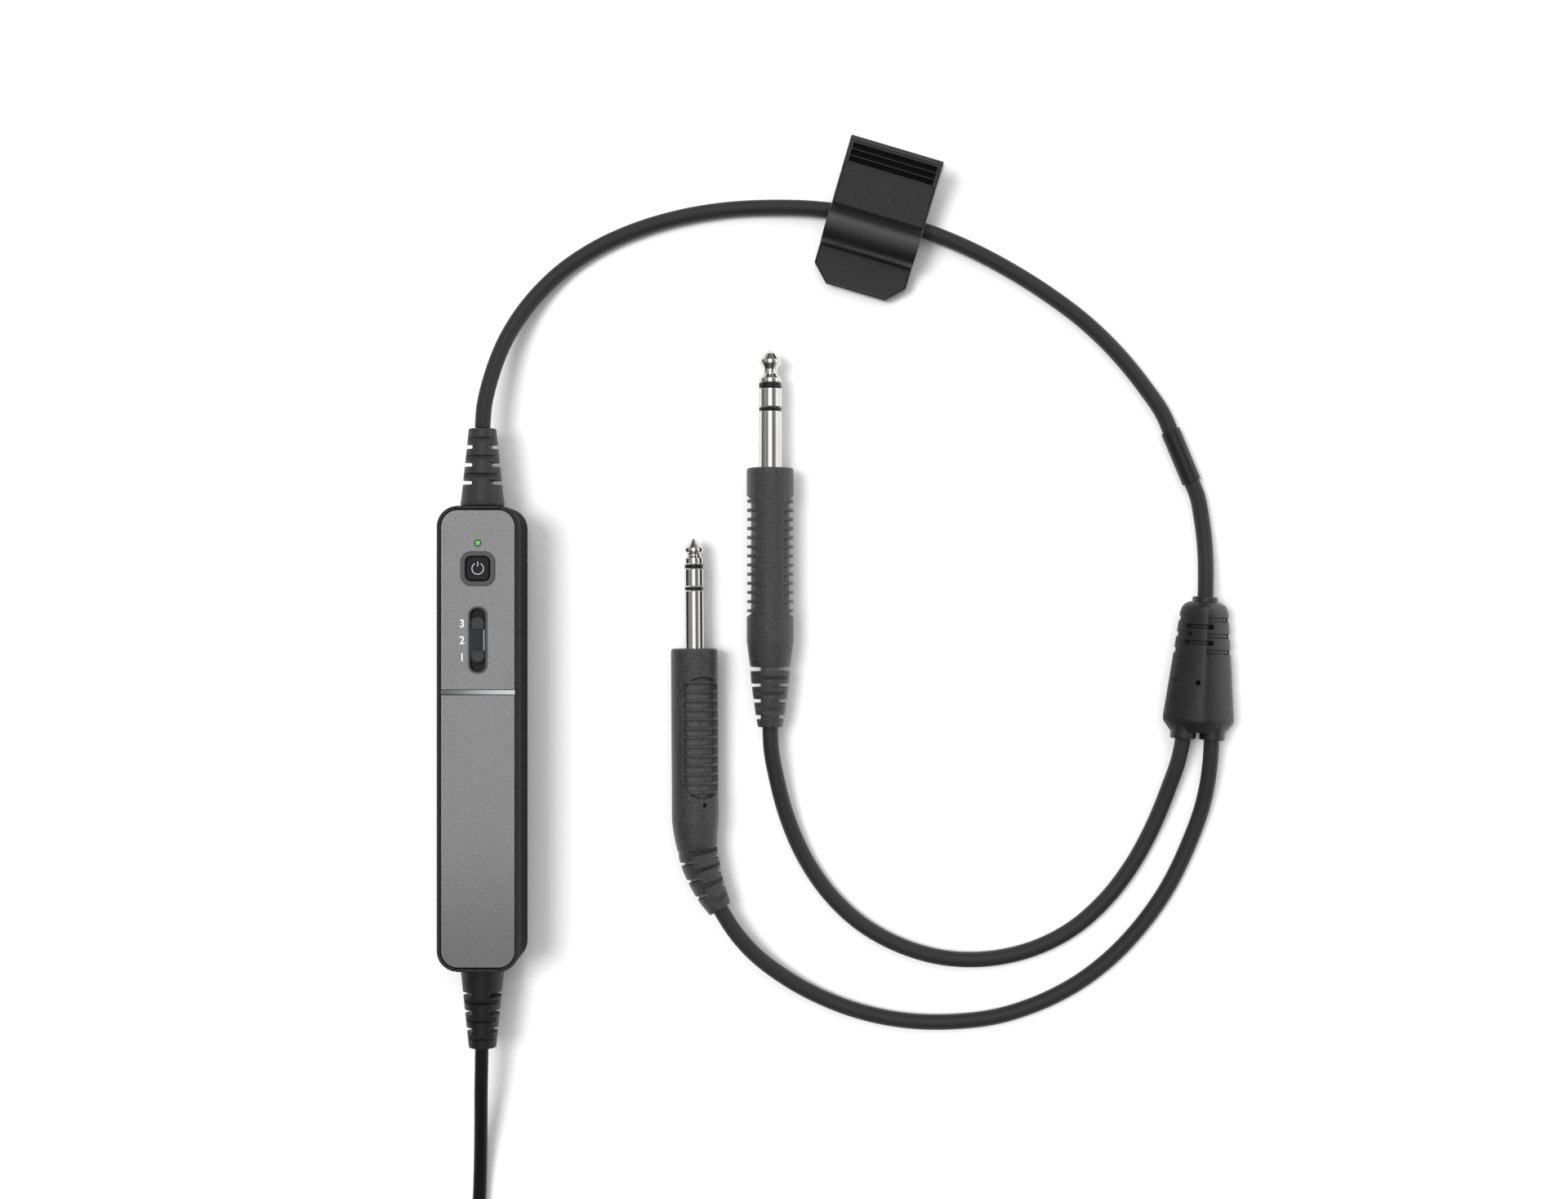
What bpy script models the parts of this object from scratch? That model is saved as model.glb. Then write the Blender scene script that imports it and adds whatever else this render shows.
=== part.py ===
"""Down-lead assembly of an aviation headset: in-line control module, cords, clothing clip,
Y-splitter and two aircraft plugs, laid out flat.

All sizes are millimetres and are scaled to metres by MM where a mesh is made. The origin is the
bottom centre of the control module, +Y runs along the module towards its upper cord, +Z is up.
"""

import math

import bmesh
import bpy
from mathutils import Matrix, Vector

MM = 0.001
FIT = 0.3  # gap kept between pieces that touch on the real object
HALF_FIT = FIT / 2
PAST = 1.0  # how far a cutter runs past a face that it opens
HAIR = 0.01  # keeps the faces of joined meshes out of one plane

# Control module
CASE_WIDTH = 21.6
CASE_LENGTH = 122.1
CASE_HEIGHT = 20.5
CASE_RADIUS = 5.5
SEAM_Z = 16.15  # middle of the gap between the rear shell and the bezel
WALL = 1.9
END_WALL = 1.6
BAY_FLOOR_Z = 1.75
DOOR_TOP_Z = 3.15  # middle of the gap between the door's lips and the rear shell
DOOR_SKIN = 1.5
DOOR_END_Y = 47.1
DOOR_LIP = 1.5
BAY_END_Y = 48.9
RIB_END_Y = 50.1
RIB_SEAT = 0.5  # how far the bay's rib runs into the shell's walls
WIRE_WAY_X = 3.0
WIRE_WAY_Z = 12.0
THUMB_ROWS = (30.0, 32.0, 34.0, 36.0, 38.0)
THUMB_HALF = 5.0
THUMB_GROOVE = (0.8, 0.5)  # width and depth
HOOK_X = (7.7, 8.5)
HOOK_ROWS = (-40.0, 25.0)
HOOK_LENGTH = 6.0
HOOK_LEVELS = (1.2, 4.4)

PLATE_WIDTH = 19.4
PLATE_LENGTH = 119.9
PLATE_RADIUS = 4.4
PLATE_LOW_Z = 19.1
PLATE_HIGH_Z = 20.2
LEDGE_Z = 18.8
LEDGE_SIDE = 1.1  # how far the ledge reaches under the plates' sides
LEDGE_END = 2.0  # and under their ends
STRIP_Y = 12.15
STRIP_SIZE = 1.2
STRIP_GAP = 0.15

BUTTON_Y = 44.6
BUTTON_SIZE = 6.3
BUTTON_RADIUS = 1.5
BUTTON_TOP_Z = 20.35
FLANGE_SIZE = 7.6
FLANGE_RADIUS = 2.0
FLANGE_LEVELS = (19.05, 19.4)
SURROUND_SIZE = 9.1
SURROUND_RADIUS = 2.8
SURROUND_LEVELS = (20.3, 20.75)
SURROUND_COLLAR = (8.1, 2.3)  # size and corner radius of the part in the plate's hole
SURROUND_OPENING = 0.2  # clearance round the button

LIGHT_Y = 51.25
LIGHT_RADIUS = 0.72

SLOT_Y = 25.9
SLOT_WIDTH = 4.1
SLOT_LENGTH = 16.7
SLOT_FRAME = (5.1, 17.6, 2.35)  # width, length and corner radius
SLOT_FRAME_HIGH_Z = 20.55
KNOB_WIDTH = 3.7
KNOB_LENGTH = 12.2
KNOB_LEVELS = (19.0, 21.0)
KNOB_DIP = (-3.0, 2.9, 20.4)  # from and to along the slider, and its floor
SHUTTER_HALF = 2.6
SHUTTER_LEVELS = (18.35, 18.8)
NECK_HALF = (1.3, 3.0)
NECK_LEVELS = (18.7, 19.1)
STEM_HALF = (0.8, 0.9)
STEM_LEVELS = (17.8, 18.5)
SLIDE_TRAVEL = 2.1  # each way from the middle position

BOARD_LOW_Z = 16.5
BOARD_HIGH_Z = 17.3
BOARD_WIDTH = 16.6
BOARD_LOW_Y = -2.0
BOARD_HIGH_Y = 57.2
BOARD_NOTCH = (3.5, 3.0)  # from a screw's axis to the notch's two sides
PROCESSOR_LOW = (-2.9, 51.5, 15.3)
PROCESSOR_HIGH = (2.9, 57.0, 16.4)
SWITCH_HALF = 2.25
SWITCH_TOP_Z = 18.2
PLUNGER_RADIUS = 0.9
PLUNGER_TOP_Z = 18.45
SLIDE_SWITCH_HALF = (3.2, 7.0)
SLIDE_SWITCH_TOP_Z = 18.1
SLIDE_GROOVE = (1.1, 3.4, 17.55)  # half width, half length and floor
LIGHT_HALF = (0.6, 0.4)
LIGHT_TOP_Z = 17.9
LENS_LOW_Z = 18.1
CELL_RADIUS = 7.0
CELL_LENGTH = 50.4
CELL_Z = 9.05
CELL_LOW_Y = -53.0
CELL_NUB = (2.7, 1.2)  # radius and length
CONTACT_PLATE = ((-4.5, 48.3, 4.5), (4.5, 48.6, 13.6))
SPRING_PLATE = ((-5.0, -57.1, 4.0), (5.0, -56.8, 14.1))
SPRING_TURNS = 3
SPRING_RADII = (3.6, 2.2)
SPRING_SPAN = (-56.2, -53.6)
SPRING_WIRE = 0.3
SCREW_X = 6.4
SCREW_Y = 54.6
SCREW_SHANK = (1.0, 1.9, 18.2)  # radius, low and high
SCREW_HEAD = (1.8, 0.7, 2.0)
SCREW_SLOT = (1.1, 0.22, 1.3)  # half length, half width and floor
BEZEL_BOSS_RADIUS = 2.5
BEZEL_HOLE_RADIUS = 1.2
SHELL_BOSS_RADIUS = 2.6
SHELL_HOLE_RADIUS = 1.25
BOSS_LOW_Z = 0.5
COUNTERBORE = (2.1, 2.3)  # radius and floor
INSERT_WIDTH = 11.5
INSERT_INNER_Y = 60.25
INSERT_LOW_Z = 4.2

# Boots on the module's two ends
BOOT_Z = 11.0
BOOT_BASE_RADIUS = 5.8
BOOT_END_RADIUS = 3.65
BOOT_NECK_RADIUS = 3.5
NECK_CLEARANCE = 0.35
BOOT_FLANGE = (4.9, 1.3)  # radius and thickness of the ring inside the case
BOOT_STEP = 1.0  # length of the full radius at the base
BOOT_SIDE_SLOTS = (4.9, 4.75, 2.0, 1.2)  # first from the end, pitch, half web and width
BOOT_FRONT_SLOTS = (2.4, 4.9, 2.6, 1.0)
BOOT_SLOT_COUNT = 3
SLOT_REACH = 8.0
UPPER_BOOT_END = 81.9
LOWER_BOOT_END = 82.5

# Cords
MAIN_DIAMETER = 4.2
HEADSET_DIAMETER = 3.6
POINT_SPACING = 2.2  # cord diameters between the points of a tube
MAIN_ROUTE = [
    (0.0, 82.2, 11.0), (0.4, 88.0, 10.7), (1.8, 94.7, 9.7), (5.8, 106.3, 6.9),
    (11.8, 116.2, 4.2), (20.3, 125.1, 2.6), (29.8, 131.5, 2.15), (41.1, 136.5, 2.1),
    (52.2, 139.7, 2.1), (64.3, 141.7, 2.1), (76.7, 142.3, 2.4), (88.1, 141.9, 3.0),
    (104.6, 139.5, 3.0), (119.0, 135.6, 3.0), (130.5, 131.0, 2.4), (141.4, 125.3, 2.1),
    (151.4, 119.0, 2.1), (161.0, 111.8, 2.1), (169.3, 103.9, 2.1), (177.1, 94.4, 2.4),
    (183.1, 85.2, 2.65), (184.2, 82.5, 2.65), (187.3, 75.1, 2.65), (190.4, 67.7, 2.65),
    (191.5, 65.0, 2.65), (192.8, 58.5, 2.8), (193.6, 50.3, 3.6), (193.5, 44.0, 5.2),
    (193.3, 37.7, 5.8),
]
INNER_ROUTE = [
    (187.2, -1.3, 5.8), (186.2, -6.5, 5.2), (183.9, -13.9, 3.7), (179.8, -24.6, 2.4),
    (173.9, -35.5, 2.1), (166.9, -44.6, 2.1), (157.6, -52.7, 2.1), (147.4, -57.8, 2.1),
    (135.4, -60.5, 2.1), (123.1, -60.2, 2.1), (112.0, -57.1, 2.1), (101.2, -51.2, 2.1),
    (92.8, -43.4, 2.1), (85.8, -33.2, 2.4), (81.2, -22.6, 3.5), (78.0, -10.6, 5.3),
    (76.8, -4.0, 6.1), (76.5, 2.0, 6.3),
]
OUTER_ROUTE = [
    (194.9, -1.8, 5.8), (194.6, -8.5, 5.0), (193.1, -18.5, 3.4), (189.1, -30.2, 2.3),
    (183.7, -41.3, 2.1), (177.2, -50.7, 2.1), (168.8, -59.8, 2.1), (159.8, -66.8, 2.1),
    (148.8, -72.5, 2.1), (137.9, -76.0, 2.1), (125.6, -77.5, 2.1), (113.3, -77.2, 2.1),
    (102.0, -75.1, 2.1), (90.4, -70.9, 2.3), (80.3, -65.2, 3.3), (71.0, -57.5, 5.1),
    (66.6, -52.1, 6.0), (63.25, -46.7, 6.3),
]
HEADSET_ROUTE = [
    (-0.2, -82.8, 11.0), (-0.35, -88.5, 10.6), (-0.6, -94.5, 9.5), (-0.9, -102.0, 7.4),
    (-1.3, -110.0, 5.0), (-1.7, -118.0, 3.1), (-2.1, -126.0, 2.2), (-2.9, -134.0, 2.2),
    (-3.75, -143.9, 2.4),
]
COIL_CENTRE = (20.0, -158.0)
COIL_INNER_RADIUS = 14.7
COIL_OUTER_RADIUS = 25.7
COIL_LOW_Z = 0.6
COIL_HIGH_Z = 10.5
TAIL_ROUTE = [
    (38.6, -178.2, 6.0), (43.5, -178.2, 4.4), (49.0, -178.1, 3.2), (55.0, -178.0, 3.0),
    (62.0, -178.0, 3.6), (68.7, -178.0, 4.2),
]
TIE_ANGLE = 100.0
TIE_WIDTH = 9.0
TIE_THICKNESS = 0.5
TIE_CLEARANCE = 0.25

# Headset connector, measured along +X from the end of its cord
CONNECTOR_START = (69.0, -178.0)
CONNECTOR_Z = 4.6
CONNECTOR_BOOT = [(0, 17.0), (3.9, 17.0), (4.1, 16.6), (4.1, 13.0), (2.5, 0.4), (2.2, 0), (0, 0)]
CONNECTOR_SHELL = [(4.4, 36.0), (4.6, 35.7), (4.6, 17.6), (4.4, 17.3), (1.5, 17.3), (1.5, 24.0),
                   (3.9, 24.0), (3.9, 36.0)]
CONNECTOR_INSERT = [(0, 31.0), (3.6, 31.0), (3.6, 24.3), (1.2, 24.3), (1.2, 18.0), (0, 18.0)]
CONNECTOR_SIDE_SLOTS = ((3.0, 7.0, 11.0), 1.5, 1.0)  # levels, half web and width
CONNECTOR_FRONT_SLOTS = ((5.0, 9.0), 1.9, 0.9)
CONTACT_COUNT = 6
CONTACT_RADIUS = 0.5
CONTACT_RING = 2.0
CONTACT_FLOOR = 26.0

# Marker sleeve on the straight stretch of the main cord
SLEEVE_CENTRE = (187.3, 75.1, 2.65)
SLEEVE_DIRECTION = (0.3864, -0.9223, 0.0)
SLEEVE_LENGTH = 15.0
SLEEVE_RADIUS = 2.6
SLEEVE_BORE = 2.25

# Y-splitter: local +Z runs from its two-cord end to its one-cord end, and local +Y down to the table
SPLITTER_TOP = (193.22, 35.8)
SPLITTER_BOTTOM = (191.2, 0.9)
SPLITTER_Z = 5.8
SPLITTER_TOP_HALF = (6.25, 5.2)
SPLITTER_LOW_HALF = (10.0, 5.8)
SPLITTER_POWER = 1.45  # of its section: 2 is an ellipse and 1 a lozenge with sharp corners
SPLITTER_SIDES = 20
SPLITTER_ENDS = [(0.0, 0.74), (2.6, 0.965), (4.0, 1.0)]  # from the two-cord end: level, scale
SPLITTER_SHOULDER = [(-3.0, 1.0), (-0.9, 0.88), (0.0, 0.66)]  # from the one-cord end
FACET_SLOT = (0.8, 0.9)  # width and depth
EVEN_SLOTS = (4.6, 8.9, 13.2)  # from the one-cord end
ODD_SLOTS = (6.6, 10.9)
MOULD_HOLES = [(-4.4, 8.6), (-7.4, 21.3), (-1.6, 21.6)]  # across, and from the one-cord end
MOULD_HOLE = (0.62, 3.0)  # radius and how far its floor is from the middle plane
COLLAR_RADIUS = 3.4
TOP_COLLAR_LENGTH = 1.4
LOW_COLLAR_LENGTH = 1.9
COLLAR_OFFSET = 3.9
COLLAR_SEAT = 2.0

# Clothing clip: u across it along the hinge, v from the finger end to the jaw end
CLIP_ORIGIN = (110.35, 156.08)
CLIP_TURN = -16.6
CLIP_WIDTH = 25.6
CLIP_PLAN_LENGTH = 38.0
CLIP_LOWER_OVERHANG = 2.5
CLIP_LOWER_THICKNESS = 1.6
CLIP_CHAMFER = 4.5
CLIP_PITCH = 14.0
CLIP_PIN = (25.6, 5.2)
CLIP_PIN_RADIUS = 0.85
CLIP_UPPER_SPAN = (-26.8, 12.8)
CLIP_UPPER_LEVELS = (-0.2, 1.6)
CLIP_HUMP = (-2.73, 0.2)
CLIP_HUMP_RADIUS = 6.1
CLIP_HUMP_BORE = 4.6
CLIP_TROUGH = (14.4, 22.4)
CLIP_TROUGH_FLOOR = 0.7
CLIP_CORNER = 0.8
CLIP_KNUCKLE_RADIUS = 1.5
CLIP_EAR_SEAT_Z = 0.5
CLIP_LUG_SEAT = 4.6
CLIP_EAR_CLEARANCE = 0.12
CLIP_LUG_CLEARANCE = 0.15
CLIP_TEETH = (32.0, 34.0, 36.0)
CLIP_TOOTH = (7.5, 0.8, 0.4)  # half width, length and depth
FINGER_GROOVES = (2.0, 1.75, 1.0, 0.5)  # first from the edge, pitch, length and depth
FINGER_GROOVE_COUNT = 3
FINGER_GROOVE_SIDE = 1.3
CLIP_SPRING_TURNS = 5
CLIP_SPRING_HALF = 2.7
CLIP_SPRING_RADIUS = 1.3
CLIP_SPRING_WIRE = 0.28
CLIP_SPRING_LOW_LEG = [(-1.75, 3.0), (-1.45, 4.4)]  # from the pin along v, and the height
CLIP_SPRING_HIGH_LEG = [(-1.5, 6.1), (-2.0, 7.4)]
CLIP_EARS = (9.0, 10.8)
CLIP_LUGS = (6.2, 8.2)

# Plugs: t is the distance from the handle's front face, positive towards the tip
PLUG_Z = 6.3
LARGE_PLUG = {
    "name": "large_plug",
    "face": (76.48, 71.75),
    "turn": 0.0,
    "roll": 0.0,
    "radius": 3.175,
    "tip": [(0.5, 31.5), (1.7, 30.6), (3.0, 28.9), (3.0, 28.0), (1.95, 26.5), (1.95, 25.4),
            (3.1, 23.9), (3.1, 22.95)],
    "insulators": [(22.75, 21.45), (16.2, 15.35)],
    "ring": (21.25, 16.4),
    "sleeve": 15.15,
    "bend": 0.0,
}
SMALL_PLUG = {
    "name": "small_plug",
    "face": (56.12, 23.37),
    "turn": 0.35,
    "roll": 63.0,
    "radius": 2.615,
    "tip": [(0.4, 29.4), (2.45, 27.0), (2.56, 26.8), (2.56, 25.9), (1.9, 25.3), (1.9, 25.0),
            (2.5, 24.1), (2.5, 22.75)],
    "insulators": [(22.55, 21.45), (16.5, 15.55)],
    "ring": (21.25, 16.7),
    "sleeve": 15.35,
    "bend": 32.0,
}
BEND_START = 47.0
BEND_REACH = 24.0
PIN_SEAT = 4.7  # depth of the sleeve inside the handle
ROD_RADIUS = 0.8
HANDLE_RADIUS = 6.25
HANDLE_CORE = 5.1
HANDLE_EDGE = (0.6, 1.0)  # across and along the front edge's chamfer
HANDLE_TAPER = (46.2, 53.2, 5.35)  # start and end of the taper, and its end radius
RECESS_HALF_ANGLE = 54.0
RECESS_START = 7.6
RECESS_MARGIN = 0.9  # from the last rib to the recess's end
RIB_FIRST = 8.9
RIB_PITCH = 2.446
RIB_THICKNESS = 0.83
RIB_COUNT = 13
RELIEF_SEGMENTS = [
    (54.5, 57.7, 5.08), (58.7, 61.8, 4.52), (63.0, 66.1, 3.92), (67.4, 69.4, 3.23),
]
RELIEF_CORE = 2.5
RELIEF_EDGE = 0.3
RELIEF_SIDE_SLOT = 1.1
RELIEF_FRONT_SLOT = 0.9
PIN_CLEARANCE = 0.15
INSULATOR_STEP = 0.18  # by which an insulator is thinner than the metal beside it
PIN_EDGE = 0.1
PLUG_SIDES = 20

PARTS = None
CUTTERS = None


# Scene set-up


def clear_scene():
    """Empties the startup scene and makes the two collections."""
    global PARTS, CUTTERS
    for obj in list(bpy.data.objects):
        bpy.data.objects.remove(obj, do_unlink=True)
    PARTS = bpy.data.collections.new("headset_down_lead")
    CUTTERS = bpy.data.collections.new("cutters")
    for collection in (PARTS, CUTTERS):
        bpy.context.scene.collection.children.link(collection)


def material(name, color, roughness, metallic):
    """One Principled material, made once and shared by name."""
    found = bpy.data.materials.get(name)
    if found:
        return found
    made = bpy.data.materials.new(name)
    made.use_nodes = True
    shader = made.node_tree.nodes["Principled BSDF"]
    shader.inputs["Base Color"].default_value = (*color, 1.0)
    shader.inputs["Roughness"].default_value = roughness
    shader.inputs["Metallic"].default_value = metallic
    made.diffuse_color = (*color, 1.0)
    return made


FINISHES = {
    "case_plastic": ((0.035, 0.036, 0.038), 0.5, 0.0),
    "face_metal": ((0.20, 0.20, 0.205), 0.38, 0.7),
    "bright_strip": ((0.70, 0.71, 0.72), 0.25, 1.0),
    "button_plastic": ((0.012, 0.012, 0.014), 0.4, 0.0),
    "surround_plastic": ((0.11, 0.11, 0.115), 0.5, 0.0),
    "status_lens": ((0.05, 0.65, 0.12), 0.25, 0.0),
    "board": ((0.02, 0.16, 0.07), 0.5, 0.0),
    "chip": ((0.02, 0.02, 0.02), 0.45, 0.0),
    "cell_jacket": ((0.30, 0.31, 0.33), 0.35, 0.3),
    "contact_nickel": ((0.66, 0.64, 0.60), 0.25, 1.0),
    "steel": ((0.55, 0.55, 0.57), 0.3, 1.0),
    "boot_rubber": ((0.022, 0.022, 0.023), 0.6, 0.0),
    "cord_jacket": ((0.035, 0.035, 0.036), 0.6, 0.0),
    "sleeve_plastic": ((0.010, 0.010, 0.011), 0.45, 0.0),
    "tie_fabric": ((0.02, 0.02, 0.022), 0.9, 0.0),
    "clip_plastic": ((0.018, 0.018, 0.019), 0.45, 0.0),
    "handle_rubber": ((0.020, 0.020, 0.021), 0.55, 0.0),
    "insulator_plastic": ((0.012, 0.012, 0.012), 0.4, 0.0),
    "plug_nickel": ((0.72, 0.71, 0.69), 0.18, 1.0),
}


# Mesh helpers


def link(obj, finish=None):
    """Puts an object in the parts collection with its finish, or among the cutters without one."""
    if finish is None:
        CUTTERS.objects.link(obj)
        obj.hide_render = True
        obj.display_type = "WIRE"
    else:
        PARTS.objects.link(obj)
        color, roughness, metallic = FINISHES[finish]
        obj.data.materials.clear()
        obj.data.materials.append(material(finish, color, roughness, metallic))
    return obj


def solid(name, mesh, finish=None):
    """Makes an object of a bmesh, which it frees."""
    bmesh.ops.recalc_face_normals(mesh, faces=mesh.faces)
    data = bpy.data.meshes.new(name)
    mesh.to_mesh(data)
    mesh.free()
    return link(bpy.data.objects.new(name, data), finish)


def add_box(mesh, low, high):
    """Adds a box between two corners to a bmesh."""
    low, high = Vector(low) * MM, Vector(high) * MM
    made = bmesh.ops.create_cube(mesh, size=1.0)["verts"]
    bmesh.ops.scale(mesh, vec=high - low, verts=made)
    bmesh.ops.translate(mesh, vec=(low + high) / 2, verts=made)


def boxes(name, corners, finish=None):
    """One object of several boxes, each given by its two corners."""
    mesh = bmesh.new()
    for low, high in corners:
        add_box(mesh, low, high)
    return solid(name, mesh, finish)


def cylinder(name, radius, start, end, sides=16, finish=None, end_radius=None):
    """A cylinder or cone between two points."""
    start, end = Vector(start) * MM, Vector(end) * MM
    axis = end - start
    mesh = bmesh.new()
    bmesh.ops.create_cone(
        mesh,
        cap_ends=True,
        segments=sides,
        radius1=radius * MM,
        radius2=(radius if end_radius is None else end_radius) * MM,
        depth=axis.length,
    )
    turn = Vector((0, 0, 1)).rotation_difference(axis).to_matrix().to_4x4()
    bmesh.ops.transform(mesh, matrix=Matrix.Translation((start + end) / 2) @ turn, verts=mesh.verts)
    return solid(name, mesh, finish)


def plain_mesh(obj):
    """Replaces an object by the mesh that its modifiers or its curve make, with its seams welded."""
    bpy.context.view_layer.update()
    graph = bpy.context.evaluated_depsgraph_get()
    data = bpy.data.meshes.new_from_object(obj.evaluated_get(graph))
    work = bmesh.new()
    work.from_mesh(data)
    bmesh.ops.remove_doubles(work, verts=work.verts, dist=0.000001)
    bmesh.ops.recalc_face_normals(work, faces=work.faces)
    work.to_mesh(data)
    work.free()
    name, place, home = obj.name, obj.matrix_world.copy(), obj.users_collection[0]
    bpy.data.objects.remove(obj, do_unlink=True)
    data.name = name
    made = bpy.data.objects.new(name, data)
    home.objects.link(made)
    made.matrix_world = place
    if home == CUTTERS:
        made.hide_render = True
        made.display_type = "WIRE"
    return made


def plate(name, outline, low_z, high_z, finish=None):
    """A flat outline given its thickness."""
    curve = bpy.data.curves.new(name, "CURVE")
    curve.dimensions = "2D"
    curve.fill_mode = "BOTH"
    curve.extrude = (high_z - low_z) / 2 * MM
    spline = curve.splines.new("POLY")
    spline.points.add(len(outline) - 1)
    for point, (x, y) in zip(spline.points, outline):
        point.co = (x * MM, y * MM, 0, 1)
    spline.use_cyclic_u = True
    obj = link(bpy.data.objects.new(name, curve), finish)
    obj.location.z = (low_z + high_z) / 2 * MM
    made = plain_mesh(obj)
    made.data.transform(made.matrix_world)
    made.matrix_world = Matrix.Identity(4)
    return made


def rounded_rectangle(width, length, radius, steps=5, centre=(0.0, 0.0)):
    """The outline of a rectangle with round corners."""
    points = []
    for corner, (sx, sy) in enumerate(((1, 1), (-1, 1), (-1, -1), (1, -1))):
        for step in range(steps + 1):
            angle = math.radians(90 * (corner + step / steps))
            points.append((
                centre[0] + sx * (width / 2 - radius) + radius * math.cos(angle),
                centre[1] + sy * (length / 2 - radius) + radius * math.sin(angle),
            ))
    return points


def turned(name, profile, sides=PLUG_SIDES, finish=None, closed=False):
    """A profile of (radius, height) points turned about Z, its outer side from top to bottom."""
    data = bpy.data.meshes.new(name)
    points = [(radius * MM, 0, height * MM) for radius, height in profile]
    edges = [(i, i + 1) for i in range(len(points) - 1)]
    if closed:
        edges.append((len(points) - 1, 0))
    data.from_pydata(points, edges, [])
    obj = link(bpy.data.objects.new(name, data), finish)
    screw = obj.modifiers.new("turn", "SCREW")
    screw.steps = screw.render_steps = sides
    screw.use_merge_vertices = True
    screw.merge_threshold = 0.000001
    return plain_mesh(obj)


def tube(name, points, radius, finish, resolution=2):
    """A round tube along points."""
    curve = bpy.data.curves.new(name, "CURVE")
    curve.dimensions = "3D"
    curve.bevel_depth = radius * MM
    curve.bevel_resolution = resolution
    curve.use_fill_caps = True
    spline = curve.splines.new("POLY")
    spline.points.add(len(points) - 1)
    for point, place in zip(spline.points, points):
        point.co = (*(Vector(place) * MM), 1)
    return link(bpy.data.objects.new(name, curve), finish)


def smooth_route(route, spacing):
    """Points about a spacing apart on the smooth curve through a route's own points."""
    places = [Vector(point) for point in route]
    spans = [(b - a).length for a, b in zip(places, places[1:])]
    slopes = [(places[1] - places[0]) / spans[0]]
    for i in range(1, len(places) - 1):
        before = (places[i] - places[i - 1]) / spans[i - 1]
        after = (places[i + 1] - places[i]) / spans[i]
        share = spans[i - 1] / (spans[i - 1] + spans[i])
        slopes.append(before * (1 - share) + after * share)
    slopes.append((places[-1] - places[-2]) / spans[-1])
    points = []
    for i, span in enumerate(spans):
        steps = max(1, round(span / spacing))
        for step in range(steps):
            t = step / steps
            points.append(
                places[i] * (2 * t**3 - 3 * t**2 + 1)
                + slopes[i] * span * (t**3 - 2 * t**2 + t)
                + places[i + 1] * (3 * t**2 - 2 * t**3)
                + slopes[i + 1] * span * (t**3 - t**2)
            )
    return points + [places[-1]]


def combine(target, others, operation="DIFFERENCE"):
    """Cuts meshes from a piece, or joins them to it, and keeps the result as its mesh."""
    for other in others:
        modifier = target.modifiers.new(other.name, "BOOLEAN")
        modifier.operation = operation
        modifier.solver = "EXACT"
        modifier.object = other
    finish = list(target.data.materials)
    made = plain_mesh(target)
    made.data.materials.clear()
    for slot in finish:
        made.data.materials.append(slot)
    for other in others:
        bpy.data.objects.remove(other, do_unlink=True)
    return made


def place(objects, frame):
    """Carries finished meshes from a local frame to their place, with their origins there."""
    for obj in objects:
        obj.matrix_world = frame @ obj.matrix_world
    return objects


def move_origin(obj, point):
    """Puts a piece's origin on a point, such as its joint's axis, without moving its mesh."""
    shift = Vector(point) * MM
    obj.data.transform(Matrix.Translation(-shift))
    obj.matrix_world = Matrix.Translation(shift) @ obj.matrix_world
    return obj


# Control module


def end_notches(name, low):
    """Cutters for the two openings that the end inserts close, from a height up."""
    half, start = INSERT_WIDTH / 2 + HALF_FIT, INSERT_INNER_Y - FIT
    return boxes(name, [
        ((-half, start, low), (half, CASE_LENGTH, CASE_HEIGHT + PAST)),
        ((-half, -CASE_LENGTH, low), (half, -start, CASE_HEIGHT + PAST)),
    ])


def at_screws(name, radius, low, high, sides=16):
    """Two upright cylinders, one at each case screw."""
    return [
        cylinder(f"{name}_{side}", radius, (side * SCREW_X, SCREW_Y, low), (side * SCREW_X, SCREW_Y, high),
                 sides)
        for side in (-1, 1)
    ]


def make_front_bezel():
    """The frame that holds the face plates and closes the rear shell."""
    low, high = SEAM_Z + HALF_FIT, CASE_HEIGHT
    bezel = plate("front_bezel", rounded_rectangle(CASE_WIDTH, CASE_LENGTH, CASE_RADIUS),
                  low, high, "case_plastic")
    pocket = plate("bezel_pocket", rounded_rectangle(PLATE_WIDTH + FIT, PLATE_LENGTH + FIT,
                                                     PLATE_RADIUS + HALF_FIT), LEDGE_Z, high + PAST)
    window = plate("bezel_window", rounded_rectangle(
        PLATE_WIDTH - 2 * LEDGE_SIDE, PLATE_LENGTH - 2 * LEDGE_END, PLATE_RADIUS - LEDGE_SIDE),
        low - PAST, LEDGE_Z + PAST)
    bezel = combine(bezel, [pocket, window, end_notches("bezel_notches", low - PAST)])
    bosses = at_screws("bezel_boss", BEZEL_BOSS_RADIUS, low + HAIR, LEDGE_Z - HAIR)
    bezel = combine(bezel, bosses, "UNION")
    return combine(bezel, at_screws("bezel_hole", BEZEL_HOLE_RADIUS, low - PAST, LEDGE_Z - FIT, 12))


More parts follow.
